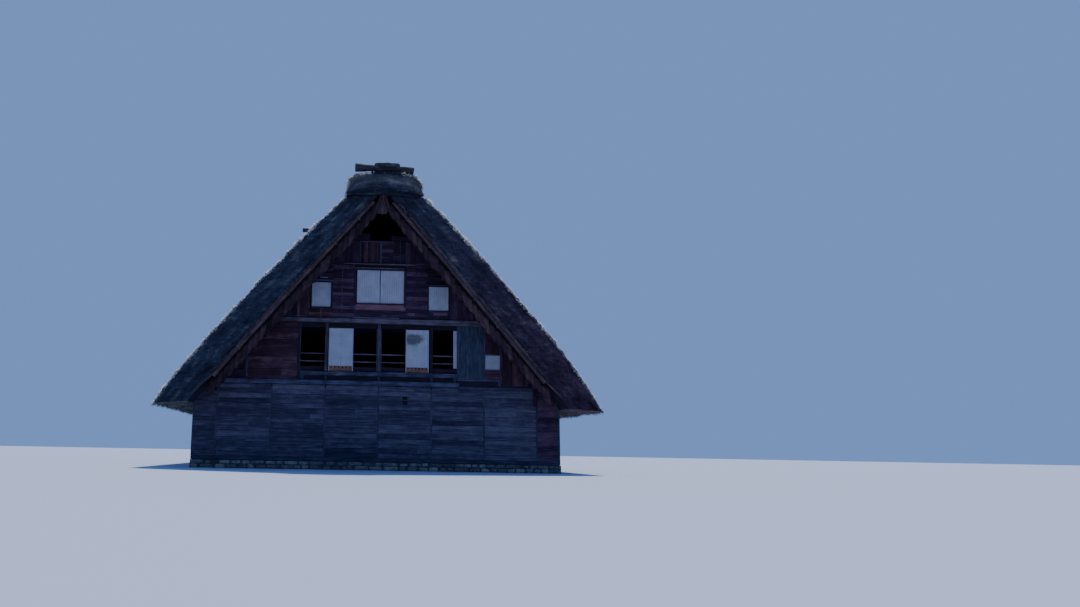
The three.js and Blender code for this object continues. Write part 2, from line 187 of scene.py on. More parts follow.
# The sizes of the lumps in trimmed thatch, and how far each kind stands out of a slope and of its ends
LARGE_LUMP = 1.6
LUMP = 0.34
SMALL_LUMP = 0.11
SWELL = (0.05, 0.035, 0.014)
RAGGED = (0.05, 0.022)
EAVE_RAGGED = 0.03
# The straws of the rims: how many on the front and the back, how far they stand out at the eave and at the
# ridge, the share of sooty ones, the band that they grow from, their spread, lengths, widths and tones
RIM_STRAWS = (11000, 8000)
RIM_REACH = {"thatch_left": (0.8, 1.0), "thatch_right": (0.5, 1.0)}
RIM_SOOTY_SHARE = 0.2
RIM_BAND = 0.06
RIM_LOOKS = (0.38, (0.05, 0.14), (0.018, 0.046), (0.1, 1.2))
# The loose straws of the other faces: how many, their spread, lengths, widths and tones
END_STRAWS = 2200
END_LOOKS = (0.3, (0.08, 0.2), (0.014, 0.035), (0.15, 0.58))
OUTER_STRAWS = 5200
OUTER_LOOKS = (0.25, (0.1, 0.22), (0.016, 0.04), (0.45, 1.05))
EAVE_STRAWS = 2600
EAVE_LOOKS = (0.22, (0.08, 0.2), (0.014, 0.035), (0.4, 0.9))
STRAW_ROOT = 0.03
# The slots of a thatched piece: its own reed, and the three that all of them share
OWN, SHADED, SOOT_AND_SHADE, BLEACHED_AND_SUNLIT = range(4)

COS = math.cos(PITCH_ANGLE)
SIN = math.sin(PITCH_ANGLE)
TAN = math.tan(PITCH_ANGLE)
WALL_Y = -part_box("gable_wall_front_loft")[0].y
VERGE_Y = WALL_Y + VERGE_OVERHANG
EAVE_TIP = (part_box("thatch_right")[1].x, 2.3)
CAP_FALL = (CAP_UNDERSIDE_Z - THATCH_TOP[1]) / THATCH_TOP[0]
INNER_TOP_X = (SOFFIT_APEX_Z - CAP_UNDERSIDE_Z) / (TAN - CAP_FALL)


def soffit_z(x):
    """The height under the thatch at a distance from the middle of the house."""
    return SOFFIT_APEX_Z - TAN * abs(x)


def soffit_x(z):
    """Half the width under the thatch at a height."""
    return (SOFFIT_APEX_Z - z) / TAN


def blend(a, b, share):
    return a + (b - a) * share


def lumps(points, size, seed):
    """Smooth noise from -1 to 1 at each point, with lumps of the given size."""
    places = (points / size + 19.7 * seed).tolist()
    return np.array([noise.noise(place) for place in places])


def grid_faces(rows, columns):
    """The quads of a grid of points that are numbered row by row."""
    first = (np.arange(rows - 1)[:, None] * columns + np.arange(columns - 1)[None, :]).ravel()
    return np.stack([first, first + 1, first + columns + 1, first + columns], axis=1)


def tube_faces(rings, sides):
    """The quads between rings of points that follow each other."""
    faces = []
    for i in range(rings - 1):
        for j in range(sides):
            k = (j + 1) % sides
            faces.append((i * sides + j, i * sides + k, (i + 1) * sides + k, (i + 1) * sides + j))
    return faces


def scattered(draw, count, *spans):
    """Random rows of numbers, each from its span, or the same number all the way down."""
    columns = []
    for span in spans:
        columns.append(draw.uniform(*span, count) if isinstance(span, tuple) else np.full(count, span))
    return np.stack(columns, axis=1)


class Heap:
    """Parts gathered into one mesh. Each part brings its points and faces, where its points lie in the
    stuff that it is made of (along the grain, across it and into it, in metres), and its tone from 0, the
    darkest, to 1, the lightest. Boards and timbers are given in the places that spot turns into points."""

    def __init__(self, draw, spot=lambda *place: np.array(place, float)):
        self.draw = draw
        self.spot = spot
        self.points = []
        self.faces = []
        self.lie = []
        self.tone = []
        self.slots = []
        self.smooth = []
        self.count = 0

    def add(self, points, faces, lie, tone=0.5, slot=0, smooth=False):
        points = np.asarray(points, float)
        self.points.append(points)
        self.faces.extend((np.asarray(face) + self.count).tolist() for face in faces)
        self.lie.append(np.asarray(lie, float))
        self.tone.append(np.broadcast_to(np.asarray(tone, float), len(points)))
        self.slots.extend(np.broadcast_to(slot, len(faces)).tolist())
        self.smooth.extend([smooth] * len(faces))
        self.count += len(points)

    def piece(self, name, materials, replaces=(), weld=False):
        """Makes the object, lets it ride on the house and hides the solids that it stands for."""
        mesh = bpy.data.meshes.new(name)
        mesh.from_pydata(np.concatenate(self.points).tolist(), [], self.faces)
        lie = mesh.attributes.new("lie", "FLOAT_VECTOR", "POINT")
        lie.data.foreach_set("vector", np.concatenate(self.lie).astype(np.float32).ravel())
        tone = mesh.attributes.new("tone", "FLOAT", "POINT")
        tone.data.foreach_set("value", np.concatenate(self.tone).astype(np.float32))
        mesh.polygons.foreach_set("material_index", self.slots)
        mesh.polygons.foreach_set("use_smooth", self.smooth)
        for material in materials:
            mesh.materials.append(material)
        if weld:
            shape = bmesh.new()
            shape.from_mesh(mesh)
            bmesh.ops.remove_doubles(shape, verts=shape.verts, dist=1e-5)
            bmesh.ops.recalc_face_normals(shape, faces=shape.faces)
            shape.to_mesh(mesh)
            shape.free()
        mesh.update()
        made = bpy.data.objects.new(name, mesh)
        bpy.context.scene.collection.objects.link(made)
        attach(made, "root")
        if replaces:
            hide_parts(*replaces)


def body_of_thatch(heap, place, steps, lie_of, tone_of, slots):
    """A solid body as the image of a unit cube: place turns shares along, through and across the thatch
    into points. Its six sides are grids that meet at the cube's edges, each with its own material slot or
    slots."""
    shares = [np.linspace(0, 1, n + 1) for n in steps]
    for fixed in range(3):
        a, b = [axis for axis in range(3) if axis != fixed]
        first, second = np.meshgrid(shares[a], shares[b], indexing="ij")
        for end, slot in zip((0.0, 1.0), slots[fixed]):
            cube = np.empty(first.shape + (3,))
            cube[..., a] = first
            cube[..., b] = second
            cube[..., fixed] = end
            flat = cube.reshape(-1, 3)
            points = place(flat)
            heap.add(points, grid_faces(*first.shape), lie_of(flat), tone_of(flat, points), slot, True)


def end_way(cube):
    """-1 on the front end of a body of thatch, 1 on its back end and 0 elsewhere."""
    across = cube[:, 2]
    return np.where((across == 0) | (across == 1), np.sign(across - 0.5), 0)


def straws(heap, roots, ways, lengths, widths, tones, slot=OWN):
    """Tapering three-sided stalks, each from its root along its way."""
    count = len(roots)
    ways = ways / np.linalg.norm(ways, axis=1)[:, None]
    side = np.cross(ways, heap.draw.normal(size=(count, 3)))
    side /= np.linalg.norm(side, axis=1)[:, None]
    other = np.cross(ways, side)
    corners = []
    for angle in (0, 2 * math.pi / 3, 4 * math.pi / 3):
        corners.append(roots + (side * math.cos(angle) + other * math.sin(angle)) * widths[:, None] / 2)
    points = np.stack(corners + [roots + ways * lengths[:, None]], axis=1).reshape(-1, 3)
    one = np.array([(0, 2, 1), (0, 1, 3), (1, 2, 3), (2, 0, 3)])
    faces = (one[None, :, :] + 4 * np.arange(count)[:, None, None]).reshape(-1, 3)
    lie = np.zeros((count, 4, 3))
    lie[:, 3, 0] = lengths
    lie[:, :, 1] = np.arange(4)[None, :] * 0.01 + heap.draw.uniform(0, 9, count)[:, None]
    heap.add(points, faces, lie.reshape(-1, 3), np.repeat(tones, 4), slot)


def strew(heap, roots, way, looks, slot=OWN):
    """Straws that spread about one way, with lengths, widths and tones drawn from the given looks."""
    spread, *spans = looks
    count = len(roots)
    ways = way + heap.draw.normal(scale=spread, size=(count, 3))
    straws(heap, roots, ways, *[heap.draw.uniform(*span, count) for span in spans], slot)


def lightness(tree, patterns, less=0.0):
    """How light each spot of a surface is: its patterns, each times its weight, less a constant."""
    total = None
    for source, weight in patterns:
        links = {0: source, 2: total} if total else {0: source}
        total = add_node(tree, "Math", {"operation": "MULTIPLY_ADD", 1: weight, 2: -less}, links)
    return total


def coat(tree, shader, colour, height, strength, depth):
    """Gives a shader the colour and the relief of its surface."""
    tree.links.new(colour, shader.inputs["Base Color"])
    relief = add_node(tree, "Bump", {"Strength": strength, "Distance": depth}, {"Height": height})
    tree.links.new(relief.outputs[0], shader.inputs["Normal"])


def thatch_material(name, dark, middle, light, moss=None, warm=None, fibre_mm=28, stretch=9, uneven=1.0):
    """Weathered reed: long fibres, blotches of damp and age, and moss where it is given. Warm is a second set
    of colours towards +X, where less soot has settled. A reed is 7 mm thick, too fine to show here, so the
    fibres are drawn as wisps of several."""
    material, tree, shader = start_material(name, 0.93, specular=0.2)
    lie = add_node(tree, "Attribute", {"attribute_name": "lie"}).outputs["Vector"]
    tone = add_node(tree, "Attribute", {"attribute_name": "tone"}).outputs["Fac"]
    drawn = add_node(tree, "VectorMath", {"operation": "MULTIPLY", 1: (1 / stretch, 1, 1)}, {0: lie})
    fibres = add_node(tree, "TexNoise", {"Scale": 1000 / fibre_mm, "Detail": 5, "Roughness": 0.7}, {0: drawn})
    blotches = add_node(tree, "TexNoise", {"Scale": 2.6, "Detail": 6, "Roughness": 0.62}, {0: lie})
    washed = add_node(tree, "VectorMath", {"operation": "MULTIPLY", 1: (0.14, 1, 1)}, {0: lie})
    streaks = add_node(tree, "TexNoise", {"Scale": 3.4, "Detail": 4, "Roughness": 0.6}, {0: washed})
    patterns = [(fibres, 0.62), (streaks, uneven), (blotches, 0.6 * uneven), (tone, 0.95)]
    light_here = lightness(tree, patterns, less=0.28 + 0.8 * uneven)
    places = (0.14, 0.5, 0.95)
    colour = add_node(tree, "ValToRGB", {"stops": list(zip(places, (dark, middle, light)))}, {0: light_here})
    colour = colour.outputs[0]
    if moss:
        patches = add_node(tree, "TexNoise", {"Scale": 0.7, "Detail": 7, "Roughness": 0.7}, {0: lie})
        cover = add_node(tree, "MapRange", {"From Min": 0.48, "From Max": 0.74, "To Max": 0.6}, {0: patches})
        mossy = add_node(tree, "Mix", {"data_type": "RGBA", 7: linear(moss)}, {0: cover, 6: colour})
        colour = mossy.outputs[2]
    if warm:
        place = add_node(tree, "TexCoord").outputs["Object"]
        across = add_node(tree, "SeparateXYZ", links={0: place})
        drifted = add_node(tree, "Math", {"operation": "MULTIPLY_ADD", 1: 2.4}, {0: blotches, 2: across})
        share = add_node(tree, "MapRange", {"From Min": 1.6, "From Max": 7.6, "To Max": 1.0}, {0: drifted})
        warmer = add_node(tree, "ValToRGB", {"stops": list(zip(places, warm))}, {0: light_here})
        colour = add_node(tree, "Mix", {"data_type": "RGBA"}, {0: share, 6: colour, 7: warmer}).outputs[2]
    coat(tree, shader, colour, fibres, 0.9, 0.03)
    return material


old_reed = thatch_material("weathered_reed", "#25242a", "#4d4848", "#a0957f", moss="#4c4d36", uneven=0.55)
shaded_reed = thatch_material(
    "shaded_reed", "#13141f", "#353b50", "#8d937f", warm=("#150e16", "#433246", "#8a7d76")
)
# Thin dry tips let light through, so those at the rims glow with the light behind them
# Their near-white colour is partly bleaching and partly painted light, for the sun that the rims catch.
bleached_sunlit_reed = thatch_material("bleached_sunlit_reed_tips", "#524c42", "#d8cfba", "#fbf5e6")
reed_shader = bleached_sunlit_reed.node_tree.nodes["Principled BSDF"]
reed_shader.inputs["Subsurface Weight"].default_value = 0.8
reed_shader.inputs["Subsurface Radius"].default_value = (0.05, 0.042, 0.03)
reed_shader.inputs["Subsurface Scale"].default_value = 1.0
# Reed blackened by smoke. Its blue-grey tint is painted light for the dark roof space, and it also serves as
# painted shade under the ridge logs.
soot_and_shade_reed = thatch_material("soot_and_shade_reed", "#14131d", "#292733", "#47434f")
shared_reeds = [shaded_reed, soot_and_shade_reed, bleached_sunlit_reed]


def thatch_slope(name, sign, seed):
    """One slope, from the eave at share 0 to the ridge at share 1."""
    run = EAVE_TIP[0] - THATCH_TOP[0]
    drop = THATCH_TOP[1] - EAVE_TIP[1]
    length = math.hypot(run, drop)
    bend = ((EAVE_TIP[0] + THATCH_TOP[0]) / 2 + THATCH_BULGE * drop / length,
            (EAVE_TIP[1] + THATCH_TOP[1]) / 2 + THATCH_BULGE * run / length)
    inner_top = (INNER_TOP_X, CAP_UNDERSIDE_Z - CAP_FALL * INNER_TOP_X)
    inner_foot = (soffit_x(EAVE_INNER_Z), EAVE_INNER_Z)

    def outer(share, axis):
        return ((1 - share) ** 2 * EAVE_TIP[axis] + 2 * share * (1 - share) * bend[axis]
                + share ** 2 * THATCH_TOP[axis])

    def smooth_place(cube):
        share, depth, across = cube.T
        x = blend(blend(inner_foot[0], inner_top[0], share), outer(share, 0), depth)
        z = blend(blend(inner_foot[1], inner_top[1], share), outer(share, 1), depth)
        above = np.maximum(0, (z - soffit_z(x)) * COS)
        to_rim = np.clip((depth - 1 + RIM_DEPTH) / RIM_DEPTH, 0, 1)
        end = VERGE_Y + VERGE_LEAN * above - RIM_ROUNDING * to_rim ** 2
        y = (2 * across - 1) * end
        near_end = np.clip(1 - (end - np.abs(y)) / RIM_DEPTH, 0, 1) ** 2 * to_rim
        swollen = np.clip(1 - (end - np.abs(y)) / RIM_LIFT_REACH, 0, 1) ** 0.5 * to_rim
        lower = RIM_ROUNDING * 0.4 * near_end - RIM_LIFT[name] * swollen * np.clip(share * 4, 0, 1)
        return np.stack([sign * (x - lower * SIN), y, z - lower * COS], axis=1), to_rim

    def place(cube):
        points, to_rim = smooth_place(cube)
        share, depth = cube.T[:2]
        swell = (SWELL[0] * lumps(points, LARGE_LUMP, seed) * to_rim
                 + SWELL[1] * lumps(points, LUMP, seed + 1)
                 + SWELL[2] * lumps(points, SMALL_LUMP, seed + 2))
        outside = np.clip(depth * 6, 0, 1)
        points[:, 0] += sign * SIN * swell * outside * to_rim
        points[:, 2] += COS * swell * outside * to_rim
        ragged = RAGGED[0] * lumps(points, LUMP, seed + 3) + RAGGED[1] * lumps(points, SMALL_LUMP, seed + 4)
        points[:, 1] += end_way(cube) * ragged * outside
        at_eave = np.where(share == 0, 1, 0) * outside
        points[:, 2] += at_eave * EAVE_RAGGED * lumps(points, LUMP, seed + 5)
        return points

    def lie_of(cube):
        y = smooth_place(cube)[0][:, 1]
        share, depth = cube.T[:2]
        at_end = end_way(cube) != 0
        lie = np.stack([share * length, y, depth * THATCH_DEPTH], axis=1)
        lie[at_end] = np.stack([share * length * 3, depth * THATCH_DEPTH + 40, y * 0], axis=1)[at_end]
        return lie + seed

    def tone_of(cube, points):
        depth = cube[:, 1]
        at_end = end_way(cube) != 0
        # The outermost rim of each end is painted lighter, painted light for the sun that it catches.
        tone = np.where(at_end, 0.39 + 0.5 * np.clip((depth - 0.96) / 0.04, 0, 1), 0.66)
        layers = 0.04 * np.sin(depth * 31 + 2 * lumps(points, 1.2, seed + 6))
        layers = layers + 0.09 * lumps(points, 0.7, seed + 8)
        return tone + np.where(at_end, layers, 0.1 * lumps(points, 0.8, seed + 7))

    draw = np.random.default_rng(seed)
    heap = Heap(draw)
    slots = ((SHADED, SHADED), (SOOT_AND_SHADE, OWN), (SHADED, SHADED))
    body_of_thatch(heap, place, SLOPE_STEPS, lie_of, tone_of, slots)
    outward = np.array([sign * SIN, 0, COS])
    downhill = np.array([sign * COS, 0, -SIN])

    for end, count in zip((0.0, 1.0), RIM_STRAWS):
        ahead = np.array([0, 1.0 if end else -1.0, 0])
        cube = scattered(draw, count, (0, 1), (0, 1), end)
        cube[:, 1] = 1 - RIM_BAND * cube[:, 1] ** 1.6
        roots = place(cube) - outward * STRAW_ROOT - ahead * 0.02
        spread, *spans = RIM_LOOKS
        ways = ahead * 0.35 + outward * 0.55 + downhill * 0.7 + draw.normal(scale=spread, size=(count, 3))
        reach = (1 + 1.1 * lumps(roots, 0.24, seed + 9)) * blend(*RIM_REACH[name], cube[:, 0])
        lengths, widths, tones = [draw.uniform(*span, count) for span in spans]
        lengths = lengths * reach
        tones = tones + lumps(roots, 0.5, seed + 10) * 0.5
        sooty = draw.random(count) < RIM_SOOTY_SHARE
        for chosen, slot in ((sooty, SOOT_AND_SHADE), (~sooty, BLEACHED_AND_SUNLIT)):
            straws(heap, roots[chosen], ways[chosen], lengths[chosen], widths[chosen], tones[chosen], slot)
        cube = scattered(draw, END_STRAWS, (0.01, 0.99), (0.03, 0.97), end)
        way = ahead * 0.5 + downhill * 0.9 - outward * 0.1
        strew(heap, place(cube) - ahead * STRAW_ROOT, way, END_LOOKS, SHADED)

    cube = scattered(draw, OUTER_STRAWS, (0, 1), 1.0, (0.01, 0.99))
    strew(heap, place(cube) - outward * STRAW_ROOT, outward * 0.35 + downhill * 1.1, OUTER_LOOKS)
    cube = scattered(draw, EAVE_STRAWS, 0.0, (0, 1), (0.005, 0.995))
    cube[:, 1] = 1 - cube[:, 1] ** 2
    strew(heap, place(cube) - downhill * 0.05, downhill, EAVE_LOOKS, SHADED)
    heap.piece(f"{name}_of_reed", [old_reed] + shared_reeds, [name], weld=True)


thatch_slope("thatch_left", -1, 3)
thatch_slope("thatch_right", 1, 23)


# The ridge cap
# A barrel of reed bent over the ridge, across the house, so that its fibres run from foot to foot.
# Its ends stand proud of the verges like a hood and lean back to the top. Their faces are painted lighter
# towards the top, for the sky light that they face.
CAP_SIDE = [
    (1.41, 10.25), (1.385, 10.42), (1.385, 10.7), (1.31, 10.9), (1.14, 11.03), (0.88, 11.1), (0.42, 11.14),
]
CAP_TOP_Z = 11.15
CAP_HALF_WIDTH = CAP_SIDE[0][0]
CAP_SEAT = 0.004
CAP_END_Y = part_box("ridge_cap")[1].y
CAP_LEAN_BACK = 0.1
CAP_LIP_RISE = 0.09
CAP_STEPS = (64, 24, 150)
# How far the lumps of the cap and of its ends stand out, each with its size
CAP_SWELL = ((0.035, 0.9), (0.03, 0.3), (0.014, 0.1))
CAP_RAGGED = ((0.06, 0.3), (0.025, 0.1))
# The straws of an end: how many, how deep they grow, how steeply they fall, their tones and their reed
CAP_END_STRAWS = {
    "rim": (3000, (0.84, 1.0), 0.3, (0.1, 1.3), BLEACHED_AND_SUNLIT),
    "lip": (3200, (0.0, 0.16), 1.5, (0.15, 0.5), SHADED),
    "face": (1100, (0.2, 0.95), 0.9, (0.3, 0.8), OWN),
}
CAP_TOP_STRAWS = 3600
CAP_TOP_LOOKS = (0.3, (0.08, 0.2), (0.016, 0.036), (0.4, 1.1))
CAP_SHADE_DEPTH = 0.16
CAP_NOTCH_DEPTH = 0.2
CAP_NOTCH_WIDTH = 0.16
# Along the rim the straws under the first log are painted dark for the shade of the log, and a share of the
# other straws is grey reed instead of the bleached, sunlit one
LOG_SHADE_X = (-0.46, 0.62)
CAP_GREY_SHARE = {"left": 0.3, "right": 0.65}

ridge_reed = thatch_material(
    "bleached_ridge_reed", "#1b1c24", "#4c4d58", "#a39a86", moss="#4d5136", fibre_mm=32
)


def ridge_cap():
    outline = np.array(CAP_SIDE + [(0, CAP_TOP_Z)] + [(-x, z) for x, z in reversed(CAP_SIDE)])
    travel = np.concatenate([[0], np.cumsum(np.linalg.norm(np.diff(outline, axis=0), axis=1))])
    around = travel / travel[-1]

    def frame_place(cube):
        share, depth, across = cube.T
        outer_x = np.interp(share, around, outline[:, 0])
        outer_z = np.interp(share, around, outline[:, 1])
        under_x = blend(CAP_HALF_WIDTH, -CAP_HALF_WIDTH, share)
        under_z = CAP_UNDERSIDE_Z + CAP_SEAT - CAP_FALL * np.abs(under_x)
        under_z = under_z + CAP_LIP_RISE * (under_x / CAP_HALF_WIDTH) ** 2
        x = blend(under_x, outer_x, depth)
        z = blend(under_z, outer_z, depth)
        to_rim = np.clip((depth - 0.72) / 0.28, 0, 1)
        end = CAP_END_Y - CAP_LEAN_BACK * depth ** 1.5 - 0.07 * to_rim ** 2
        y = (2 * across - 1) * end
        near_end = np.clip(1 - (end - np.abs(y)) / 0.3, 0, 1) ** 2 * to_rim
        return np.stack([x * (1 - 0.02 * near_end), y, z - 0.03 * near_end], axis=1)

    def place(cube):
        points = frame_place(cube)
        way = np.stack([points[:, 0] / 1.4, np.zeros(len(cube)), np.full(len(cube), 0.7)], axis=1)
        way /= np.linalg.norm(way, axis=1)[:, None]
        swell = sum(rise * lumps(points, size, 41 + i) for i, (rise, size) in enumerate(CAP_SWELL))
        points += way * (swell * np.clip(cube[:, 1] * 4, 0, 1))[:, None]
        ragged = sum(rise * lumps(points, size, 44 + i) for i, (rise, size) in enumerate(CAP_RAGGED))
        points[:, 1] += end_way(cube) * ragged
        return points

    def lie_of(cube):
        share, depth = cube.T[:2]
        at_end = end_way(cube) != 0
        lie = np.stack([share * travel[-1], frame_place(cube)[:, 1], depth], axis=1)
        lie[at_end] = np.stack([share * travel[-1], depth * 0.9 + 60, 0 * depth], axis=1)[at_end]
        return lie

    def tone_of(cube, points):
        depth = cube[:, 1]
        # The end faces are painted lighter towards the top, painted light for the sky that they face.
        of_end = np.interp(depth, (0, 0.55), (0.31, 0.47))
        # Painted light: the underside is made lighter, to soften the shade where it meets the verges.
        elsewhere = np.where(depth == 0, 0.46, 0.62)
        return np.where(end_way(cube) != 0, of_end, elsewhere) + 0.1 * lumps(points, 0.5, 46)

    def shade_depth(share):
        """How deep the shaded lower edge of an end reaches: like an arch, with a notch in its middle."""
        x = CAP_HALF_WIDTH * (1 - 2 * share)
        return (CAP_SHADE_DEPTH * np.clip((1.3 - np.abs(x)) / 0.25, 0, 1)
                + CAP_NOTCH_DEPTH * np.exp(-(x / CAP_NOTCH_WIDTH) ** 2))

    draw = np.random.default_rng(47)
    heap = Heap(draw)
    share_steps, depth_steps = [(np.arange(steps) + 0.5) / steps for steps in CAP_STEPS[:2]]
    end_slots = np.where(depth_steps[None, :] < shade_depth(share_steps)[:, None], SHADED, OWN).ravel()
    slots = ((SOOT_AND_SHADE, SOOT_AND_SHADE), (SHADED, OWN), (end_slots, end_slots))
    body_of_thatch(heap, place, CAP_STEPS, lie_of, tone_of, slots)
    for end in (0.0, 1.0):
        ahead = np.array([0, 1.0 if end else -1.0, 0])
        for part, (count, depths, fall, tones, slot) in CAP_END_STRAWS.items():
            points = place(scattered(draw, count, (0.005, 0.995), depths, end))
            sideways = np.sign(points[:, 0])[:, None] * np.array([0.7, 0, 0])
            ways = ahead * 0.5 + np.array([0, 0, -fall]) + sideways + draw.normal(scale=0.4, size=(count, 3))
            lengths = draw.uniform(0.07, 0.17, count) * (1 + 0.9 * lumps(points, 0.2, 48))
            widths = draw.uniform(0.014, 0.038, count)
            tone = draw.uniform(*tones, count)
            reeds = np.full(count, slot)
            if part == "rim":
                share = np.where(points[:, 0] > 0, CAP_GREY_SHARE["right"], CAP_GREY_SHARE["left"])
                reeds[draw.random(count) < share] = OWN
                # Painted shade: the rim straws under the first log are made dark.
                reeds[(points[:, 0] > LOG_SHADE_X[0]) & (points[:, 0] < LOG_SHADE_X[1])] = SOOT_AND_SHADE
            roots = points - ahead * 0.04
            for reed in np.unique(reeds):
                of = reeds == reed
                straws(heap, roots[of], ways[of], lengths[of], widths[of], tone[of], int(reed))
    points = place(scattered(draw, CAP_TOP_STRAWS, (0, 1), 1.0, (0.01, 0.99)))
    way = np.sign(points[:, 0])[:, None] * np.array([1.0, 0, -0.6]) + np.array([0, 0, 0.25])
    strew(heap, points - np.array([0, 0, STRAW_ROOT]), way, CAP_TOP_LOOKS)
    heap.piece("ridge_cap_of_reed", [ridge_reed] + shared_reeds, ["ridge_cap"], weld=True)


ridge_cap()


# The timber on the ridge
# Crooked logs laid across the cap on pads of straw, and long poles tied side by side on top of them with
# straw rope. Bare, cracked and silvered wood, cut off rough.
# Each path is a row of places across the house, heights and radii
LOG_PATHS = [
    [(-1.11, 11.35, 0.172), (-0.45, 11.34, 0.118), (0.35, 11.33, 0.115), (0.72, 11.315, 0.122),
     (1.12, 11.25, 0.155)],
    [(-1.06, 11.26, 0.1), (0.0, 11.27, 0.11), (1.16, 11.28, 0.125)],
    [(-1.08, 11.28, 0.12), (0.1, 11.27, 0.105), (1.12, 11.24, 0.11)],
    [(-1.1, 11.25, 0.105), (-0.1, 11.27, 0.11), (1.1, 11.29, 0.12)],
    [(-1.06, 11.24, 0.11), (0.2, 11.29, 0.1), (1.14, 11.32, 0.138)],
]
PAD_PATH = [
    (-0.4, 11.13, 0.02), (-0.22, 11.18, 0.07), (0.1, 11.19, 0.09), (0.42, 11.18, 0.08), (0.6, 11.11, 0.02),
]
PROP_PATH = [(-0.46, 11.1, 0.05), (-0.45, 11.28, 0.03)]
RIDGE_POLES = 5
ROPE_SHIFTS = (-0.1, 0.1)
WAD_SHIFTS = (-0.24, 0.0, 0.24)
ROPE_RADIUS = 0.014
ROPE_TURNS = 3
ROPE_PITCH = 2.2
POLE_MOTTLE = 0.16
# The slots of a pole with its lashings: the wood, the rope and the reed beside it
WOOD, ROPE, REED = range(3)


def wood_material(name, dark, middle, light, grain_mm=9, stretch=16, along=None):
    """Unpainted wood left to weather: raised grain, checks along it and blotches of damp. The grain follows
    each piece, or one axis of the house where it is given."""
    material, tree, shader = start_material(name, 0.82, specular=0.3)
    if along is None:
        lie = add_node(tree, "Attribute", {"attribute_name": "lie"}).outputs["Vector"]
    else:
        split = add_node(tree, "SeparateXYZ", links={0: add_node(tree, "TexCoord").outputs["Object"]})
        order = [along] + [axis for axis in range(3) if axis != along]
        lie = add_node(tree, "CombineXYZ", links={i: split.outputs[axis] for i, axis in enumerate(order)})
    tone = add_node(tree, "Attribute", {"attribute_name": "tone"}).outputs["Fac"]
    drawn = add_node(tree, "VectorMath", {"operation": "MULTIPLY", 1: (1 / stretch, 1, 1)}, {0: lie})
    of_grain = {"Scale": 1000 / grain_mm, "Detail": 4, "Roughness": 0.65, "Distortion": 0.3}
    grain = add_node(tree, "TexNoise", of_grain, {0: drawn})
    broad = add_node(tree, "TexNoise", {"Scale": 300 / grain_mm, "Detail": 3, "Roughness": 0.6}, {0: drawn})
    damp = add_node(tree, "TexNoise", {"Scale": 2.2, "Detail": 5, "Roughness": 0.6}, {0: lie})
    raised = lightness(tree, [(broad, 1.0), (grain, 0.5)])
    patterns = [(raised, 1.0), (damp, 0.7), (tone, 0.9)]
    light_here = lightness(tree, patterns, less=1.05 if along is None else 0.6)
    stops = [(0.12, dark), (0.5, middle), (0.95, light)]
    colour = add_node(tree, "ValToRGB", {"stops": stops}, {0: light_here})
    coat(tree, shader, colour.outputs[0], raised, 0.6, 0.006)
    return material


silvered_log = wood_material("silvered_log", "#131319", "#37363f", "#77747a", grain_mm=14)
straw_rope = thatch_material("straw_rope", "#1c1a1b", "#4b453f", "#857a66", fibre_mm=9, stretch=2)


def rough_pole(heap, path, radii, sides=10, step=0.22, sway=0.012, rough=0.07, tone=0.5, slot=WOOD):
    """A pole or log along a path, as crooked and knotty as it is told to be, with both ends cut off."""
    path = np.array(path, float)
    travel = np.concatenate([[0], np.cumsum(np.linalg.norm(np.diff(path, axis=0), axis=1))])
    count = max(4, int(travel[-1] / step) + 1)
    along = np.linspace(0, travel[-1], count)
    centre = np.stack([np.interp(along, travel, path[:, i]) for i in range(3)], axis=1)
    radius = np.interp(along, travel, radii)
    ways = np.gradient(centre, axis=0)
    ways /= np.linalg.norm(ways, axis=1)[:, None]
    helper = np.array([0.31, 0.21, 0.93]) if abs(ways[0, 2]) < 0.8 else np.array([0.93, 0.31, 0.21])
    side = np.cross(ways, helper)
    side /= np.linalg.norm(side, axis=1)[:, None]
    other = np.cross(ways, side)
    shift = heap.draw.uniform(0, 50)
    if sway:
        bends = np.array([noise.noise_vector((d * 0.45 + shift, shift, 0.5)) for d in along])
        centre = centre + bends * sway * np.sin(np.pi * along / travel[-1])[:, None]
    angles = 2 * math.pi * np.arange(sides) / sides
    rings = centre[:, None, :] + radius[:, None, None] * (
        side[:, None, :] * np.cos(angles)[None, :, None] + other[:, None, :] * np.sin(angles)[None, :, None]
    )
    flat = rings.reshape(-1, 3)
    knobs = lumps(flat, 0.16, shift % 7) * rough + lumps(flat, 0.5, shift % 5) * rough
    flat = flat + (flat - np.repeat(centre, sides, axis=0)) * knobs[:, None]
    lie = np.stack([np.repeat(along, sides), np.tile(angles, count) * np.repeat(radius, sides),
                    np.zeros(count * sides)], axis=1) + shift
    mottled = tone + POLE_MOTTLE * lumps(flat, 0.35, shift % 3)
    heap.add(flat, tube_faces(count, sides), lie, mottled, slot, True)
    for i, order in ((0, -1), (count - 1, 1)):
        ring = flat[i * sides:(i + 1) * sides]
        middle = ring.mean(axis=0) + ways[i] * order * 0.01
        fan = [(j, (j + 1) % sides, sides)[::order] for j in range(sides)]
        turned = (ring - middle) @ np.stack([side[i], other[i], ways[i]], axis=1)
        end_lie = np.concatenate([turned, [[0, 0, 0]]])
        heap.add(np.concatenate([ring, [middle]]), fan, end_lie * (0.2, 1, 1) + shift, tone + 0.1, slot)


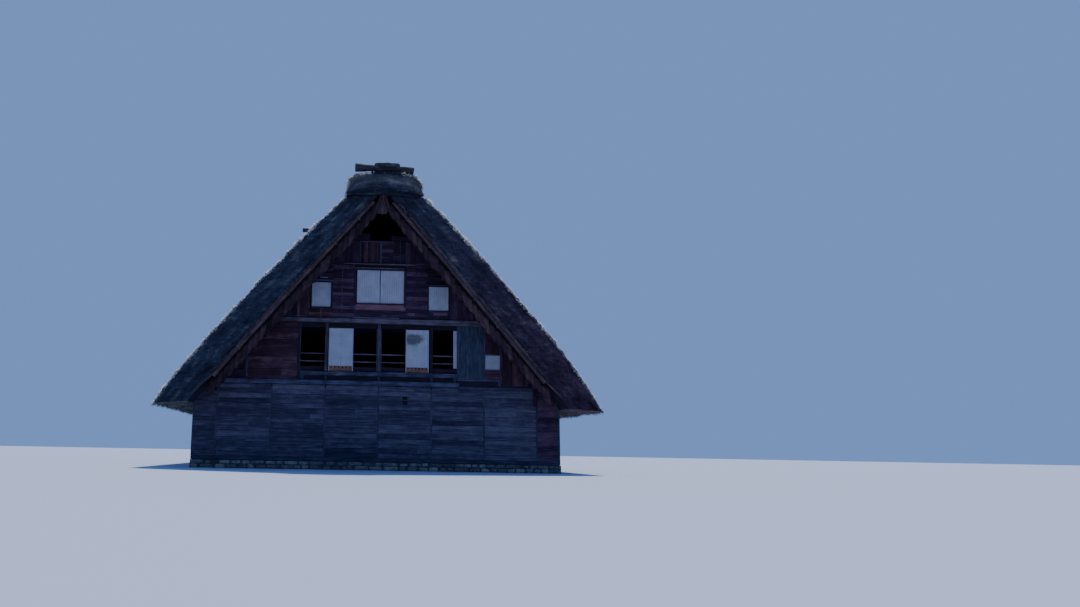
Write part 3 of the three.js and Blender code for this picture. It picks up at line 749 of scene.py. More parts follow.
def rope_turns(heap, middle, across, over, turns=ROPE_TURNS, along=(0, 1, 0), square=1.0):
    """Turns of straw rope side by side round a middle, given the two half axes. The lower square is, the
    more the turns follow a rectangle instead of an oval."""
    angles = np.linspace(0, 2 * math.pi * turns, 24 * turns + 1)
    wide = np.sign(np.cos(angles)) * np.abs(np.cos(angles)) ** square
    high = np.sign(np.sin(angles)) * np.abs(np.sin(angles)) ** square
    turned = (angles / (2 * math.pi) - turns / 2)[:, None]
    advance = turned * np.array(along)[None, :] * ROPE_RADIUS * ROPE_PITCH
    path = (np.array(middle)[None, :] + wide[:, None] * np.array(across)[None, :]
            + high[:, None] * np.array(over)[None, :] + advance)
    radii = [ROPE_RADIUS] * len(path)
    rough_pole(heap, path, radii, sides=6, step=0.06, sway=0, rough=0.1, tone=0.6, slot=ROPE)


def ridge_logs():
    draw = np.random.default_rng(51)
    for number, log_path in enumerate(LOG_PATHS, 1):
        low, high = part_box(f"ridge_log_{number}")
        y = (low.y + high.y) / 2
        heap = Heap(draw)
        log = [(x, y + 0.02 * math.sin(5 * x), z) for x, z, _ in log_path]
        radii = [radius for _, _, radius in log_path]
        rough_pole(heap, log, radii, sides=14, step=0.1, sway=0.02, rough=0.12, tone=0.42)
        # The pads and props under each log are dark reed, painted dark for the shade under the log.
        for packing, sides, rough, tone in ((PAD_PATH, 10, 0.2, 0.3), (PROP_PATH, 8, 0.3, 0.2)):
            path = [(x, y, z) for x, z, _ in packing]
            radii = [radius for _, _, radius in packing]
            rough_pole(heap, path, radii, sides=sides, step=0.05, sway=0, rough=rough, tone=tone, slot=1)
        materials = [silvered_log, soot_and_shade_reed]
        heap.piece(f"weathered_log_{number}", materials, [f"ridge_log_{number}"])


def ridge_poles():
    low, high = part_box("ridge_poles")
    radius = (high.z - low.z) / 2
    spread = (high.x - low.x) / 2 - radius
    middle_x = (low.x + high.x) / 2
    z = (low.z + high.z) / 2 - 0.02
    draw = np.random.default_rng(52)
    heap = Heap(draw)
    for i in range(RIDGE_POLES):
        x = middle_x + spread * (i / 2 - 1)
        thick, thin = radius * draw.uniform(0.88, 0.95), radius * draw.uniform(0.74, 0.82)
        first, last = (thick, thin) if i % 2 else (thin, thick)
        trim = draw.uniform(0, 0.05, 2)
        path = [(x, low.y + trim[0], z - 0.01), (x + 0.03, 0, z), (x, high.y - trim[1], z - 0.01)]
        rough_pole(heap, path, [first, radius * 0.85, last], step=0.4, sway=0.03, rough=0.1, tone=0.4)
    for number in range(1, len(LOG_PATHS) + 1):
        log_low, log_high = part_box(f"ridge_log_{number}")
        y = (log_low.y + log_high.y) / 2
        for shift in ROPE_SHIFTS:
            across, over = (spread + radius * 0.84, 0, 0), (0, 0, radius * 0.88)
            rope_turns(heap, (middle_x, y + shift, z), across, over, square=0.35)
        for shift in WAD_SHIFTS:
            wad = [(middle_x - spread, y + shift, z - 0.03), (middle_x, y + shift, z + 0.01),
                   (middle_x + spread, y + shift, z - 0.02)]
            rough_pole(heap, wad, [0.05, 0.08, 0.05], 9, 0.06, sway=0.02, rough=0.3, tone=0.3, slot=REED)
    heap.piece("roped_poles", [silvered_log, straw_rope, ridge_reed], ["ridge_poles"])


ridge_logs()
ridge_poles()


# The verges
# A peeled cedar pole runs up each verge in front of a band of reed bundles that hang from the lowest
# layer of the thatch, tips down and overlapping. Round purlins carry the overhang, and boards close the apex.
BARGE_POLE_Y = VERGE_Y + 0.07
BARGE_POLE_APEX_Z = 10.489
# The pole's places across the house, and how far it lies there above its straight line
BARGE_POLE_X = (0.38, 2.4, 4.4, 6.13)
BARGE_POLE_RISE = (0.045, 0.1, 0.1, 0.05)
BARGE_POLE_RADII = (0.066, 0.071, 0.077, 0.082)
BARGE_TAIL = ((5.95, 3.58), (6.87, 2.71))
LASHING_X = (0.95, 6.0, 0.86)
LASHING_REACH = 0.09
ROLL_RADIUS = {"left": 0.028, "right": 0.07}
ROLL_X = (0.5, 5.95)
ROLL_STRAWS_PER_METRE = 9000
ROLL_LOOKS = (0.25, (0.06, 0.15), (0.014, 0.034), (0.2, 0.95))
BUNDLE_STEP = 0.33
BUNDLE_LENGTH = 0.84
BUNDLE_HALF_WIDTH = 0.19
BUNDLE_HALF_DEPTH = 0.07
BUNDLE_SLANT = math.radians(8)
BUNDLE_SIDES = 12
BUNDLE_STATIONS = 9
BUNDLE_STRAWS = 30
BUNDLE_SHEAR = 0.72
# Down to the first of these distances from its top a bundle is painted dark, for the shade of the pole above
# it, from the second on it isn't
BUNDLE_POLE_SHADE = (0.2, 0.3)
BUNDLE_TONE = {"left": (0.34, 0.48), "right": (0.42, 0.58)}
PURLIN_X = (0.75, 6.6)
PURLIN_STEP = 1.02
PURLIN_RADIUS = 0.055
# Each apex board: its foot from left to right, its top from left to right, its foot's height and its tone
APEX_BOARDS = [
    ((-0.37, -0.24), (-0.1, -0.07), 9.7, 0.45),
    ((-0.235, -0.09), (-0.067, -0.035), 9.64, 0.55),
    ((-0.085, 0.02), (-0.032, 0.02), 9.62, 0.72),
    ((0.025, 0.15), (0.023, 0.06), 9.64, 0.62),
    ((0.155, 0.31), (0.063, 0.09), 9.7, 0.5),
]
APEX_BOARD_TOP_Z = 10.4

pole_cedar = wood_material("peeled_cedar_pole", "#160f15", "#3b2b34", "#725b5b", grain_mm=12)
bundle_reed = thatch_material(
    "hanging_reed_bundles", "#140c12", "#3b2933", "#715654", fibre_mm=24, stretch=10
)
roll_reed = thatch_material("tied_reed_roll", "#1b151b", "#4a3c46", "#85757a", fibre_mm=22, stretch=5)
apex_cedar = wood_material("apex_cedar_boards", "#140f15", "#32262e", "#5d4b4c", grain_mm=10)


def plank(heap, corners, back, tone=0.5, slot=0):
    """One board: its four outer corners in turn, the first two along the grain, and the way to its back.
    Each board lies somewhere else in its log, so no two have the same grain."""
    corners = np.array([heap.spot(*corner) for corner in corners])
    points = np.concatenate([corners, corners + np.array(back, float)])
    grain = corners[1] - corners[0]
    grain = grain / np.linalg.norm(grain)
    wide = corners[3] - corners[0]
    wide = wide - grain * (wide @ grain)
    wide = wide / np.linalg.norm(wide)
    deep = np.cross(grain, wide)
    from_log = points - corners[0]
    lie = np.stack([from_log @ grain, from_log @ wide, from_log @ deep], axis=1) + heap.draw.uniform(0, 60, 3)
    faces = [(0, 1, 2, 3), (7, 6, 5, 4), (0, 4, 5, 1), (1, 5, 6, 2), (2, 6, 7, 3), (3, 7, 4, 0)]
    if np.dot(np.cross(grain, wide), np.array(back, float)) > 0:
        faces = [face[::-1] for face in faces]
    heap.add(points, faces, lie, tone + heap.draw.normal(scale=0.045), slot)


def reed_bundle(heap, top, way, wide, outward, tones):
    """One hanging bundle: a flattened sheaf that swells below its tie and ends in a ragged cut."""
    shares = np.linspace(0, 1, BUNDLE_STATIONS)
    width = BUNDLE_HALF_WIDTH * np.interp(shares, [0, 0.3, 0.8, 1], [0.86, 1, 0.92, 0.6])
    depth = BUNDLE_HALF_DEPTH * np.interp(shares, [0, 0.3, 0.8, 1], [0.8, 1, 0.9, 0.5])
    length = BUNDLE_LENGTH * heap.draw.uniform(0.9, 1.04)
    angles = 2 * math.pi * np.arange(BUNDLE_SIDES) / BUNDLE_SIDES
    twist = 0.35
    front = outward * math.cos(twist) + wide * math.sin(twist)
    across = wide * math.cos(twist) - outward * math.sin(twist)
    points, lie = [], []
    for share, w, d in zip(shares, width, depth):
        for angle in angles:
            aside = w * math.cos(angle)
            down = length * share + BUNDLE_SHEAR * aside
            point = top + way * down + across * aside + front * d * math.sin(angle)
            if share == 1:
                point = point + way * 0.09 * noise.noise((angle * 1.3, length * 40, 0))
            points.append(point)
            lie.append((share * length, angle * 0.1 + aside, d))
    points = np.array(points)
    points += lumps(points, 0.09, 5)[:, None] * 0.012 * front
    shift = heap.draw.uniform(0, 40)
    faces = tube_faces(BUNDLE_STATIONS, BUNDLE_SIDES)
    faces.append(tuple(range(BUNDLE_SIDES))[::-1])
    faces.append(tuple(range((BUNDLE_STATIONS - 1) * BUNDLE_SIDES, BUNDLE_STATIONS * BUNDLE_SIDES)))
    # Painted shade of the pole darkens the top of each bundle.
    soot = np.repeat(np.interp(shares * length, BUNDLE_POLE_SHADE, (-0.5, 0)), BUNDLE_SIDES)
    heap.add(points, faces, np.array(lie) + shift, heap.draw.uniform(*tones) + soot, 0, True)
    count = BUNDLE_STRAWS
    spots = heap.draw.uniform(-0.9, 0.9, count)
    reach = heap.draw.uniform(0.55, 1.0, count)
    w = np.interp(reach, shares, width)
    roots = (top + way * (length * reach + BUNDLE_SHEAR * w * spots)[:, None] + across * (w * spots)[:, None]
             + front * (BUNDLE_HALF_DEPTH * 0.5 * heap.draw.uniform(-1, 1, count))[:, None])
    ways = way + across * (spots * 0.25)[:, None] + front * heap.draw.normal(scale=0.12, size=(count, 1))
    straws(heap, roots, ways, heap.draw.uniform(0.06, 0.16, count), heap.draw.uniform(0.014, 0.03, count),
           heap.draw.uniform(0.25, 0.7, count))


def verge(side, hand, seed):
    """One of the four verges: the pole, the bundles and the purlins of one side of one gable."""
    facing = FACING[side]
    sign = SIGN[hand]
    draw = np.random.default_rng(seed)
    y = facing * BARGE_POLE_Y
    downhill = Vector((sign * COS, 0, -SIN))
    square = Vector((sign * SIN, 0, COS))

    def pole_z(x):
        return BARGE_POLE_APEX_Z - x * TAN + float(np.interp(x, BARGE_POLE_X, BARGE_POLE_RISE))

    pole = Heap(draw)
    line = [(sign * x, y, pole_z(x)) for x in BARGE_POLE_X]
    rough_pole(pole, line, BARGE_POLE_RADII, sides=12, step=0.16, sway=0.03, rough=0.09, tone=0.58)
    tail = [(sign * x, y - facing * 0.03, z) for x, z in BARGE_TAIL]
    rough_pole(pole, tail, [0.045, 0.035], sides=8, step=0.12, sway=0.01, tone=0.62)
    for x in np.arange(*LASHING_X):
        middle = Vector((sign * x, y, pole_z(x)))
        rope_turns(pole, middle, (0, LASHING_REACH, 0), square * LASHING_REACH, turns=2, along=downhill)

    radius = ROLL_RADIUS[hand]
    lift = 0.07 + radius

    def roll_place(x, out):
        return sign * (x + lift * SIN), y + facing * out, pole_z(x) + lift * COS

    stations = np.linspace(*ROLL_X, 24)
    taper = np.interp(stations, (ROLL_X[0], 1.3, 4.8, ROLL_X[1]), (0.5, 1, 1, 0.25))
    radii = radius * taper * draw.uniform(0.8, 1.15, len(stations))
    roll = [roll_place(x, 0.01) for x in stations]
    rough_pole(pole, roll, radii, sides=12, step=0.08, sway=0.02, rough=0.3, tone=0.55, slot=REED)
    count = int(ROLL_STRAWS_PER_METRE * radius)
    roots = np.array([roll_place(x, 0.01 + 0.7 * radius) for x in draw.uniform(*ROLL_X, count)])
    roots += np.array(square) * draw.uniform(-0.7, 0.7, (count, 1)) * radius
    strew(pole, roots, np.array(downhill) * 0.8 + np.array([0, facing * 0.35, -0.4]), ROLL_LOOKS, REED)
    materials = [pole_cedar, straw_rope, roll_reed]
    pole.piece(f"verge_pole_{side}_{hand}", materials, [f"barge_pole_{side}_{hand}"])

    bundles = Heap(draw)
    low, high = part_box(f"verge_band_{side}_{hand}")
    reach = max(abs(low.x), abs(high.x))
    way = np.array([sign * math.sin(BUNDLE_SLANT), 0, -math.cos(BUNDLE_SLANT)])
    wide = np.array([sign * math.cos(BUNDLE_SLANT), 0, math.sin(BUNDLE_SLANT)])
    outward = np.array([0, facing, 0.0])
    for i in range(int((reach - 0.25) / COS / BUNDLE_STEP)):
        x = 0.24 + (i + 0.5) * BUNDLE_STEP * COS + draw.normal(scale=0.012)
        top = np.array([sign * x, facing * (VERGE_Y - BUNDLE_HALF_DEPTH - 0.012), soffit_z(x) - 0.03])
        reed_bundle(bundles, top, way, wide, outward, BUNDLE_TONE[hand])
    back_y = facing * (VERGE_Y - 2 * BUNDLE_HALF_DEPTH)
    (x0, z0), (x1, z1) = [(sign * x, soffit_z(x) - sunk) for x, sunk in ((0.02, 0.22), (reach - 0.1, 0.02))]
    core = [(x0, back_y, z0 - 0.3), (x1, back_y, z1 - 0.3), (x1, back_y, z1), (x0, back_y, z0)]
    plank(bundles, core, (0, -facing * 0.02, 0), 0.3)
    bundles.piece(f"reed_bundles_{side}_{hand}", [bundle_reed], [f"verge_band_{side}_{hand}"])

    purlins = Heap(draw)
    for x in np.arange(*PURLIN_X, PURLIN_STEP * COS):
        z = soffit_z(x) - PURLIN_RADIUS / COS - 0.005
        ends = [(sign * x, facing * (WALL_Y + 0.002), z), (sign * x, facing * (VERGE_Y - 0.16), z)]
        radii = [PURLIN_RADIUS, PURLIN_RADIUS * 0.9]
        rough_pole(purlins, ends, radii, sides=9, step=0.25, sway=0, rough=0.05, tone=0.4)
    purlins.piece(f"verge_purlins_{side}_{hand}", [pole_cedar])


def apex_boards(side):
    facing = FACING[side]
    y = facing * (VERGE_Y + 0.045)
    draw = np.random.default_rng(61)
    heap = Heap(draw)
    for foot, top, foot_z, tone in APEX_BOARDS:
        jog = facing * draw.uniform(-0.012, 0.012)
        corners = [(foot[0], y + jog, foot_z), (top[0], y + jog, APEX_BOARD_TOP_Z),
                   (top[1], y + jog, APEX_BOARD_TOP_Z), (foot[1], y + jog, foot_z)]
        plank(heap, corners, (0, -facing * 0.024, 0), tone)
    heap.piece(f"apex_boards_{side}", [apex_cedar])


VERGES = [("front", "left"), ("front", "right"), ("back", "left"), ("back", "right")]
for number, (side, hand) in enumerate(VERGES):
    verge(side, hand, 70 + number)
for side in ("front", "back"):
    apex_boards(side)


# The boarded gables
# A frame of squared posts and beams whose gaps are closed with sawn cedar boards, nailed on level in some
# fields and upright in others. Smoke from inside and rain from outside have turned them dark brown, and a
# cool blue cast is painted into their colours for the shade, which makes them purple brown.
BOARD = 0.018
BOARD_LAP = 0.02
BOARD_LENGTH = 2.7
BOARD_GAP = 0.002
UNDER_THATCH = 0.04
BACK_WINDOW_X = (-2.03, 0.0, 2.03)
BACK_WINDOW_HALF_WIDTH = 0.4725
BACK_WINDOW_Z = (3.95, 5.42)
# The slots of a boarded wall
SMOKED, GREYED, REDDISH = range(3)
# How deep a window frame sits in the wall, and how far its sides, its lintel and its ledge stand out
FRAME_DEPTH = 0.03
FRAME_OUT = (0.05, 0.055, 0.06)
# Each loft window: its opening across and up, and the width of its frame
LOFT_WINDOWS = [
    ((-0.935, 0.935, 6.38, 7.69), 0.085),
    ((-2.65, -1.9, 6.185, 7.16), 0.05),
    ((1.9, 2.675, 6.15, 7.09), 0.05),
]
BACK_FRAME = 0.05
# The foot and the head of each storey's boards, and of those between the back windows
TOP_Z = (7.99, 8.84)
LOFT_Z = (5.7, 7.99)
GALLERY_Z = (3.27, 5.62)
BACK_ROW_Z = (3.88, 5.47)
# A field of boards in the tables below: its span across the gable, its heights, the width of a board,
# whether its boards stand upright, their tone and their wood

# The blue in these colours is a painted cast for the cool light of the shade on the gable.
smoked_boards = wood_material("smoke_browned_boards", "#130a18", "#2e1934", "#62455d", grain_mm=13)
greyed_boards = wood_material("rain_greyed_boards", "#131523", "#303348", "#6b6d80", grain_mm=13)
reddish_boards = wood_material("red_brown_boards", "#1c0d1b", "#402232", "#7a535e", grain_mm=13)
# Smoked wood inside the house, painted lighter and bluer than it is: painted light for the dim blue seen
# through the openings.
sooty_wood = wood_material("sooty_wood", "#30304a", "#504f72", "#727095", grain_mm=30, stretch=6, along=0)
board_woods = [smoked_boards, greyed_boards, reddish_boards]


def recolour(name, material):
    """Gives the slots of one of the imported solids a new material."""
    for material_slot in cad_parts[name].material_slots:
        material_slot.material = material


def gable_spot(facing):
    """Points on a gable, from a place across it, a height and a distance out from the wall's face."""
    return lambda x, z, out: np.array((x, facing * (WALL_Y + out), z))


def side_spot(sign, face_x):
    """The same for a long side of the house."""
    return lambda y, z, out: np.array((sign * (face_x + out), y, z))


def timber(heap, low, high, tone=0.5, slot=0, corner=0.014, wave=0.006, step=0.35, ends=None):
    """A squared timber along the longest side of its box, with worn corners and slightly wavy faces. Ends
    gives the foot and the top at its first and last end, where it leans or tapers."""
    places = heap.spot(*low), heap.spot(*high)
    low, high = np.minimum(*places), np.maximum(*places)
    size = high - low
    axis = int(np.argmax(size))
    a, b = [i for i in range(3) if i != axis]
    half_a, half_b = size[a] / 2, size[b] / 2
    corner = min(corner, 0.5 * half_a, 0.5 * half_b)
    ring = np.array([
        (half_a, half_b - corner), (half_a - corner, half_b),
        (corner - half_a, half_b), (-half_a, half_b - corner),
        (-half_a, corner - half_b), (corner - half_a, -half_b),
        (half_a - corner, -half_b), (half_a, corner - half_b),
    ])
    if axis == 1:
        ring = ring[::-1]
    count = max(2, int(size[axis] / step) + 2)
    along = np.linspace(low[axis], high[axis], count)
    points = np.zeros((count, 8, 3))
    points[:, :, axis] = along[:, None]
    points[:, :, a] = ring[None, :, 0]
    points[:, :, b] = ring[None, :, 1]
    flat = points.reshape(-1, 3)
    worn = 1 - wave / min(half_a, half_b) * (0.5 + 0.5 * lumps(flat + low, 0.6, 9))
    lie = np.stack([flat[:, axis], flat[:, a], flat[:, b]], axis=1) + heap.draw.uniform(0, 60, 3)
    flat[:, a] = flat[:, a] * worn + (low[a] + high[a]) / 2
    flat[:, b] = flat[:, b] * worn + (low[b] + high[b]) / 2
    if ends:
        share = (flat[:, axis] - low[axis]) / size[axis]
        foot, top = [blend(ends[0][i], ends[1][i], share) for i in (0, 1)]
        flat[:, 2] = foot + (flat[:, 2] - low[2]) / size[2] * (top - foot)
    faces = tube_faces(count, 8)
    faces.append(tuple(range(8))[::-1])
    faces.append(tuple(range(8 * count - 8, 8 * count)))
    heap.add(flat, faces, lie, tone + heap.draw.normal(scale=0.03), slot)


def boards(heap, along, heights, size, upright=False, thatch=True, tone=0.5, slot=0, out=0.0, spread=0.1,
           turns=0.0):
    """Fills one field of a wall with boards and trims them along the thatch. Turns makes every second board
    darker and the others lighter, painted shade and light that stand for the laps between the courses."""
    draw = heap.draw
    ends, run = (along, heights) if upright else (heights, along)
    count = max(1, round((ends[1] - ends[0]) / size))
    edges = np.linspace(*ends, count + 1)
    edges[1:-1] += draw.normal(scale=size * 0.07, size=count - 1)
    for first, last in zip(edges[:-1] + BOARD_GAP, edges[1:] - BOARD_GAP):
        face = out + BOARD + draw.uniform(0, 0.006)
        # Every second board is painted darker, for the shade under the lap, and the others lighter.
        turns = -turns
        if upright:
            tops = [min(run[1], soffit_z(x) - UNDER_THATCH) if thatch else run[1] for x in (first, last)]
            foot = run[0] + draw.uniform(0, 0.012)
            if min(tops) < foot + 0.04:
                continue
            corners = [(first, foot, face), (first, tops[0], face), (last, tops[1], face), (last, foot, face)]
            back = heap.spot(0, 0, out) - heap.spot(0, 0, face)
            plank(heap, corners, back, tone + turns + draw.normal(scale=spread), slot)
            continue
        reach = [soffit_x(z) - UNDER_THATCH if thatch else math.inf for z in (first, last)]
        left = [max(run[0], -r) for r in reach]
        far = [min(run[1], r) for r in reach]
        if far[1] - left[1] < 0.02:
            continue
        cut = left[0] + draw.uniform(0.4, 1.0) * BOARD_LENGTH
        cuts = []
        while cut < far[0] - 0.5:
            cuts.append(cut)
            cut += BOARD_LENGTH * draw.uniform(0.7, 1.1)
        starts = [tuple(left)] + [(c + BOARD_GAP / 2, c + BOARD_GAP / 2) for c in cuts]
        stops = [(c - BOARD_GAP / 2, c - BOARD_GAP / 2) for c in cuts] + [tuple(far)]
        back = heap.spot(0, 0, 0) - heap.spot(0, 0, face - out)
        for (a0, a1), (b0, b1) in zip(starts, stops):
            if b1 - a1 < 0.03:
                continue
            sag = draw.normal(scale=0.003)
            corners = [(a0, first + sag, face + BOARD_LAP), (b0, first - sag, face + BOARD_LAP),
                       (b1, last, face), (a1, last, face)]
            plank(heap, corners, back, tone + turns + draw.normal(scale=spread), slot)


def window_frame(heap, opening, wide, sides, rails, tones):
    """Two sides, a lintel and a ledge round an opening. Sides and rails say how far they reach below and
    above it, and the tones are those of the sides, the lintel and the ledge."""
    x0, x1, z0, z1 = opening
    for x in (x0 - wide, x1):
        high = (x + wide, z1 + sides[1], FRAME_OUT[0])
        timber(heap, (x, z0 - sides[0], -FRAME_DEPTH), high, tones[0], SMOKED)
    timber(heap, (x0, z1, -FRAME_DEPTH), (x1, z1 + rails[1], FRAME_OUT[1]), tones[1], SMOKED)
    timber(heap, (x0, z0 - rails[0], -FRAME_DEPTH), (x1, z0, FRAME_OUT[2]), tones[2], SMOKED)


def gable_top(side):
    """The low wall under the vent: short upright boards between thin posts, with a rail along its top."""
    facing = FACING[side]
    draw = np.random.default_rng(81)
    heap = Heap(draw, gable_spot(facing))
    mirror = 1 if side == "front" else -1
    fields = [
        ((-2.3, -1.28), TOP_Z, 0.15, True, 0.46, SMOKED),
        ((-1.24, -0.83), TOP_Z, 0.13, True, 0.42, SMOKED),
        ((-0.78, -0.03), (7.99, 8.8), 0.12, True, 0.28, REDDISH),
        ((0.03, 0.5), (7.99, 8.8), 0.13, False, 0.46, SMOKED),
        ((0.52, 1.0), TOP_Z, 0.13, False, 0.36, SMOKED),
        ((1.02, 2.3), TOP_Z, 0.14, True, 0.42, SMOKED),
        ((-1.2, -0.42), (8.875, 9.15), 0.14, False, 0.38, SMOKED),
        ((0.4, 1.3), (8.875, 9.08), 0.19, False, 0.46, SMOKED),
    ]
    for along, heights, size, upright, tone, slot in fields:
        along = tuple(sorted(mirror * x for x in along))
        boards(heap, along, heights, size, upright, tone=tone, slot=slot, turns=0.07)
    thin_posts = [
        (-0.81, 0.035, 0.55), (-1.26, 0.03, 0.42), (-0.42, 0.03, 0.5), (0.0, 0.055, 0.74), (0.5, 0.03, 0.45),
        (0.76, 0.03, 0.6), (1.0, 0.035, 0.5),
    ]
    for x, wide, tone in thin_posts:
        x *= mirror
        top = min(8.86, soffit_z(x) - 0.05)
        timber(heap, (x - wide / 2, TOP_Z[0], 0), (x + wide / 2, top, 0.055), tone, GREYED)
    timber(heap, (-0.5 * mirror, 8.82, 0), (0.5 * mirror, 8.87, 0.07), 0.66, SMOKED)
    timber(heap, (-1.44 * mirror, 8.84, 0), (-0.5 * mirror, 8.868, 0.04), 0.3, SMOKED)
    timber(heap, (0.5 * mirror, 8.84, 0), (1.44 * mirror, 8.868, 0.04), 0.3, SMOKED)
    heap.piece(f"top_boards_{side}", board_woods)


def gable_loft(side):
    """The loft wall: level boards between the windows, with battens, lintels, ledges and window frames."""
    facing = FACING[side]
    draw = np.random.default_rng(82)
    heap = Heap(draw, gable_spot(facing))
    fields = [
        ((-4.1, -3.2), (5.7, 7.2), 0.2, True, 0.45, SMOKED),
        ((-3.1, -2.69), (5.7, 7.6), 0.17, True, 0.5, REDDISH),
        ((-2.76, -1.84), (7.26, 7.99), 0.12, False, 0.44, SMOKED),
        ((-2.76, -1.84), (5.7, 6.13), 0.145, False, 0.46, REDDISH),
        ((-1.84, -1.0), LOFT_Z, 0.135, False, 0.54, SMOKED),
        ((-1.0, 1.0), (5.7, 6.06), 0.12, False, 0.36, SMOKED),
        ((-1.0, 1.0), (7.73, 7.99), 0.13, False, 0.25, SMOKED),
        ((1.0, 1.86), LOFT_Z, 0.165, False, 0.52, SMOKED),
        ((1.78, 2.68), (7.16, 7.99), 0.13, False, 0.4, SMOKED),
        ((1.78, 2.7), (5.7, 6.08), 0.13, False, 0.4, SMOKED),
        ((2.7, 4.1), (5.7, 7.4), 0.16, True, 0.6, SMOKED),
    ]
    for along, heights, size, upright, tone, slot in fields:
        boards(heap, along, heights, size, upright, tone=tone, slot=slot,
               spread=0.06 if upright else 0.1, turns=0.0 if upright else 0.15)
    # The small parts on the boards: their span across, their heights, how far they stand out, tone and wood
    parts = [
        (-3.17, -3.1, 5.75, 7.3, 0.045, 0.78, REDDISH),
        (-1.67, -1.63, 5.74, 7.98, 0.036, 0.5, SMOKED),
        (-1.5, -1.46, 5.74, 7.98, 0.04, 0.75, REDDISH),
        (1.39, 1.46, 7.2, 7.7, 0.04, 0.62, SMOKED),
        (1.5, 1.54, 5.74, 7.1, 0.035, 0.45, SMOKED),
        (-2.34, -2.04, 7.33, 7.38, 0.05, 0.85, GREYED),
        (-2.3, -2.26, 5.74, 6.13, 0.05, 0.85, REDDISH),
        (1.85, 2.6, 7.15, 7.21, 0.07, 0.3, SMOKED),
        (2.08, 2.63, 5.95, 6.06, 0.1, 0.95, SMOKED),
        (-3.55, -2.95, 5.885, 5.905, 0.05, 0.7, REDDISH),
        (-3.6, -2.9, 5.81, 5.832, 0.06, 0.75, GREYED),
        (-3.6, -2.9, 5.75, 5.77, 0.07, 0.8, GREYED),
        (-0.93, 0.93, 6.1, 6.33, 0.07, 0.95, REDDISH),
        (1.09, 1.36, 5.9, 6.04, 0.04, 0.95, SMOKED),
        (-0.99, 0.99, 6.03, 6.09, 0.045, 0.42, SMOKED),
    ]
    for x0, x1, z0, z1, out, tone, slot in parts:
        timber(heap, (x0, z0, 0.0), (x1, z1, out), tone, slot)
    for opening, wide in LOFT_WINDOWS:
        window_frame(heap, opening, wide, (wide, 0.03), (wide * 0.8, wide * 0.7), (0.3, 0.38, 0.36))
    timber(heap, (-0.016, 6.38, -0.03), (0.016, 7.69, -0.012), 0.05, SMOKED)
    heap.piece(f"loft_boards_{side}", board_woods)


def gallery_walls(side):
    """The storey below: on the front the two boarded ends, on the back one wall with a row of windows."""
    facing = FACING[side]
    draw = np.random.default_rng(83)
    heap = Heap(draw, gable_spot(facing))
    if side == "front":
        fields = [
            ((-6.2, -5.1), GALLERY_Z, 0.22, False, 0.44, SMOKED),
            ((-5.0, -3.1), GALLERY_Z, 0.24, False, 0.46, REDDISH),
            ((3.02, 4.62), (3.27, 3.44), 0.17, False, 0.36, SMOKED),
            ((4.12, 4.66), (4.48, 5.62), 0.27, True, 0.5, REDDISH),
            ((4.12, 4.66), (3.5, 3.86), 0.2, False, 0.62, REDDISH),
            ((4.74, 6.2), (3.27, 5.0), 0.21, True, 0.48, REDDISH),
        ]
        posts = [(-5.1, 5.0, 0.5), (-3.08, 5.6, 0.32), (4.73, 5.1, 0.62), (5.6, 3.95, 0.5)]
    else:
        fields = [
            ((-6.2, -2.9), GALLERY_Z, 0.24, False, 0.46, SMOKED),
            ((2.9, 6.2), GALLERY_Z, 0.24, False, 0.46, REDDISH),
            ((-2.8, 2.8), (3.27, 3.88), 0.2, False, 0.44, SMOKED),
            ((-2.8, 2.8), (5.47, 5.62), 0.15, False, 0.4, SMOKED),
            ((-2.8, -2.55), BACK_ROW_Z, 0.2, False, 0.46, SMOKED),
            ((-1.51, -1.08), BACK_ROW_Z, 0.2, False, 0.4, REDDISH),
            ((-0.98, -0.52), BACK_ROW_Z, 0.2, False, 0.42, REDDISH),
            ((0.52, 0.98), BACK_ROW_Z, 0.2, False, 0.46, SMOKED),
            ((1.08, 1.51), BACK_ROW_Z, 0.2, False, 0.5, SMOKED),
            ((2.55, 2.8), BACK_ROW_Z, 0.2, False, 0.42, REDDISH),
        ]
        tops = ((2.85, GALLERY_Z[1]), (4.6, 5.1), (1.03, 5.5))
        posts = [(x, top, 0.6) for place, top in tops for x in (-place, place)]
        for x in BACK_WINDOW_X:
            opening = (x - BACK_WINDOW_HALF_WIDTH, x + BACK_WINDOW_HALF_WIDTH, *BACK_WINDOW_Z)
            window_frame(heap, opening, BACK_FRAME, (0.07, 0.05), (0.07, 0.05), (0.4, 0.42, 0.44))
    for along, heights, size, upright, tone, slot in fields:
        boards(heap, along, heights, size, upright, tone=tone, slot=slot)
    for x, top, tone in posts:
        top = min(top, soffit_z(abs(x) + 0.05) - 0.03)
        timber(heap, (x - 0.05, GALLERY_Z[0], 0), (x + 0.05, top, 0.06), tone, SMOKED)
    heap.piece(f"gallery_boards_{side}", board_woods)


for side in ("front", "back"):
    gable_top(side)
    gable_loft(side)
    gallery_walls(side)
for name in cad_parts:
    if name.startswith(("gable_wall", "second_floor", "loft_floor", "ground_floor")):
        recolour(name, sooty_wood)


# The paper windows
# Leaves of thin cedar bars with white paper pasted over them. The paper has yellowed a little and damp has
# cockled it. Its white is painted a darker blue-grey, for the shade and the sky's light on it.
STILE = 0.03
BAR = 0.008
BAR_PROUD = 0.003
# The bars stand on the paper's face for the lattice behind it, and the upright ones are painted dark for the
# shade of the lattice showing through.
BAR_SHADE_TONE = 0.2
PAPER_SHEET = 0.004
KICK_BOARD_TOP_Z = 3.915
HEAD_Z = 5.377
GREENISH_PATCH_PLACE = (1.37, -9.1, 5.0)
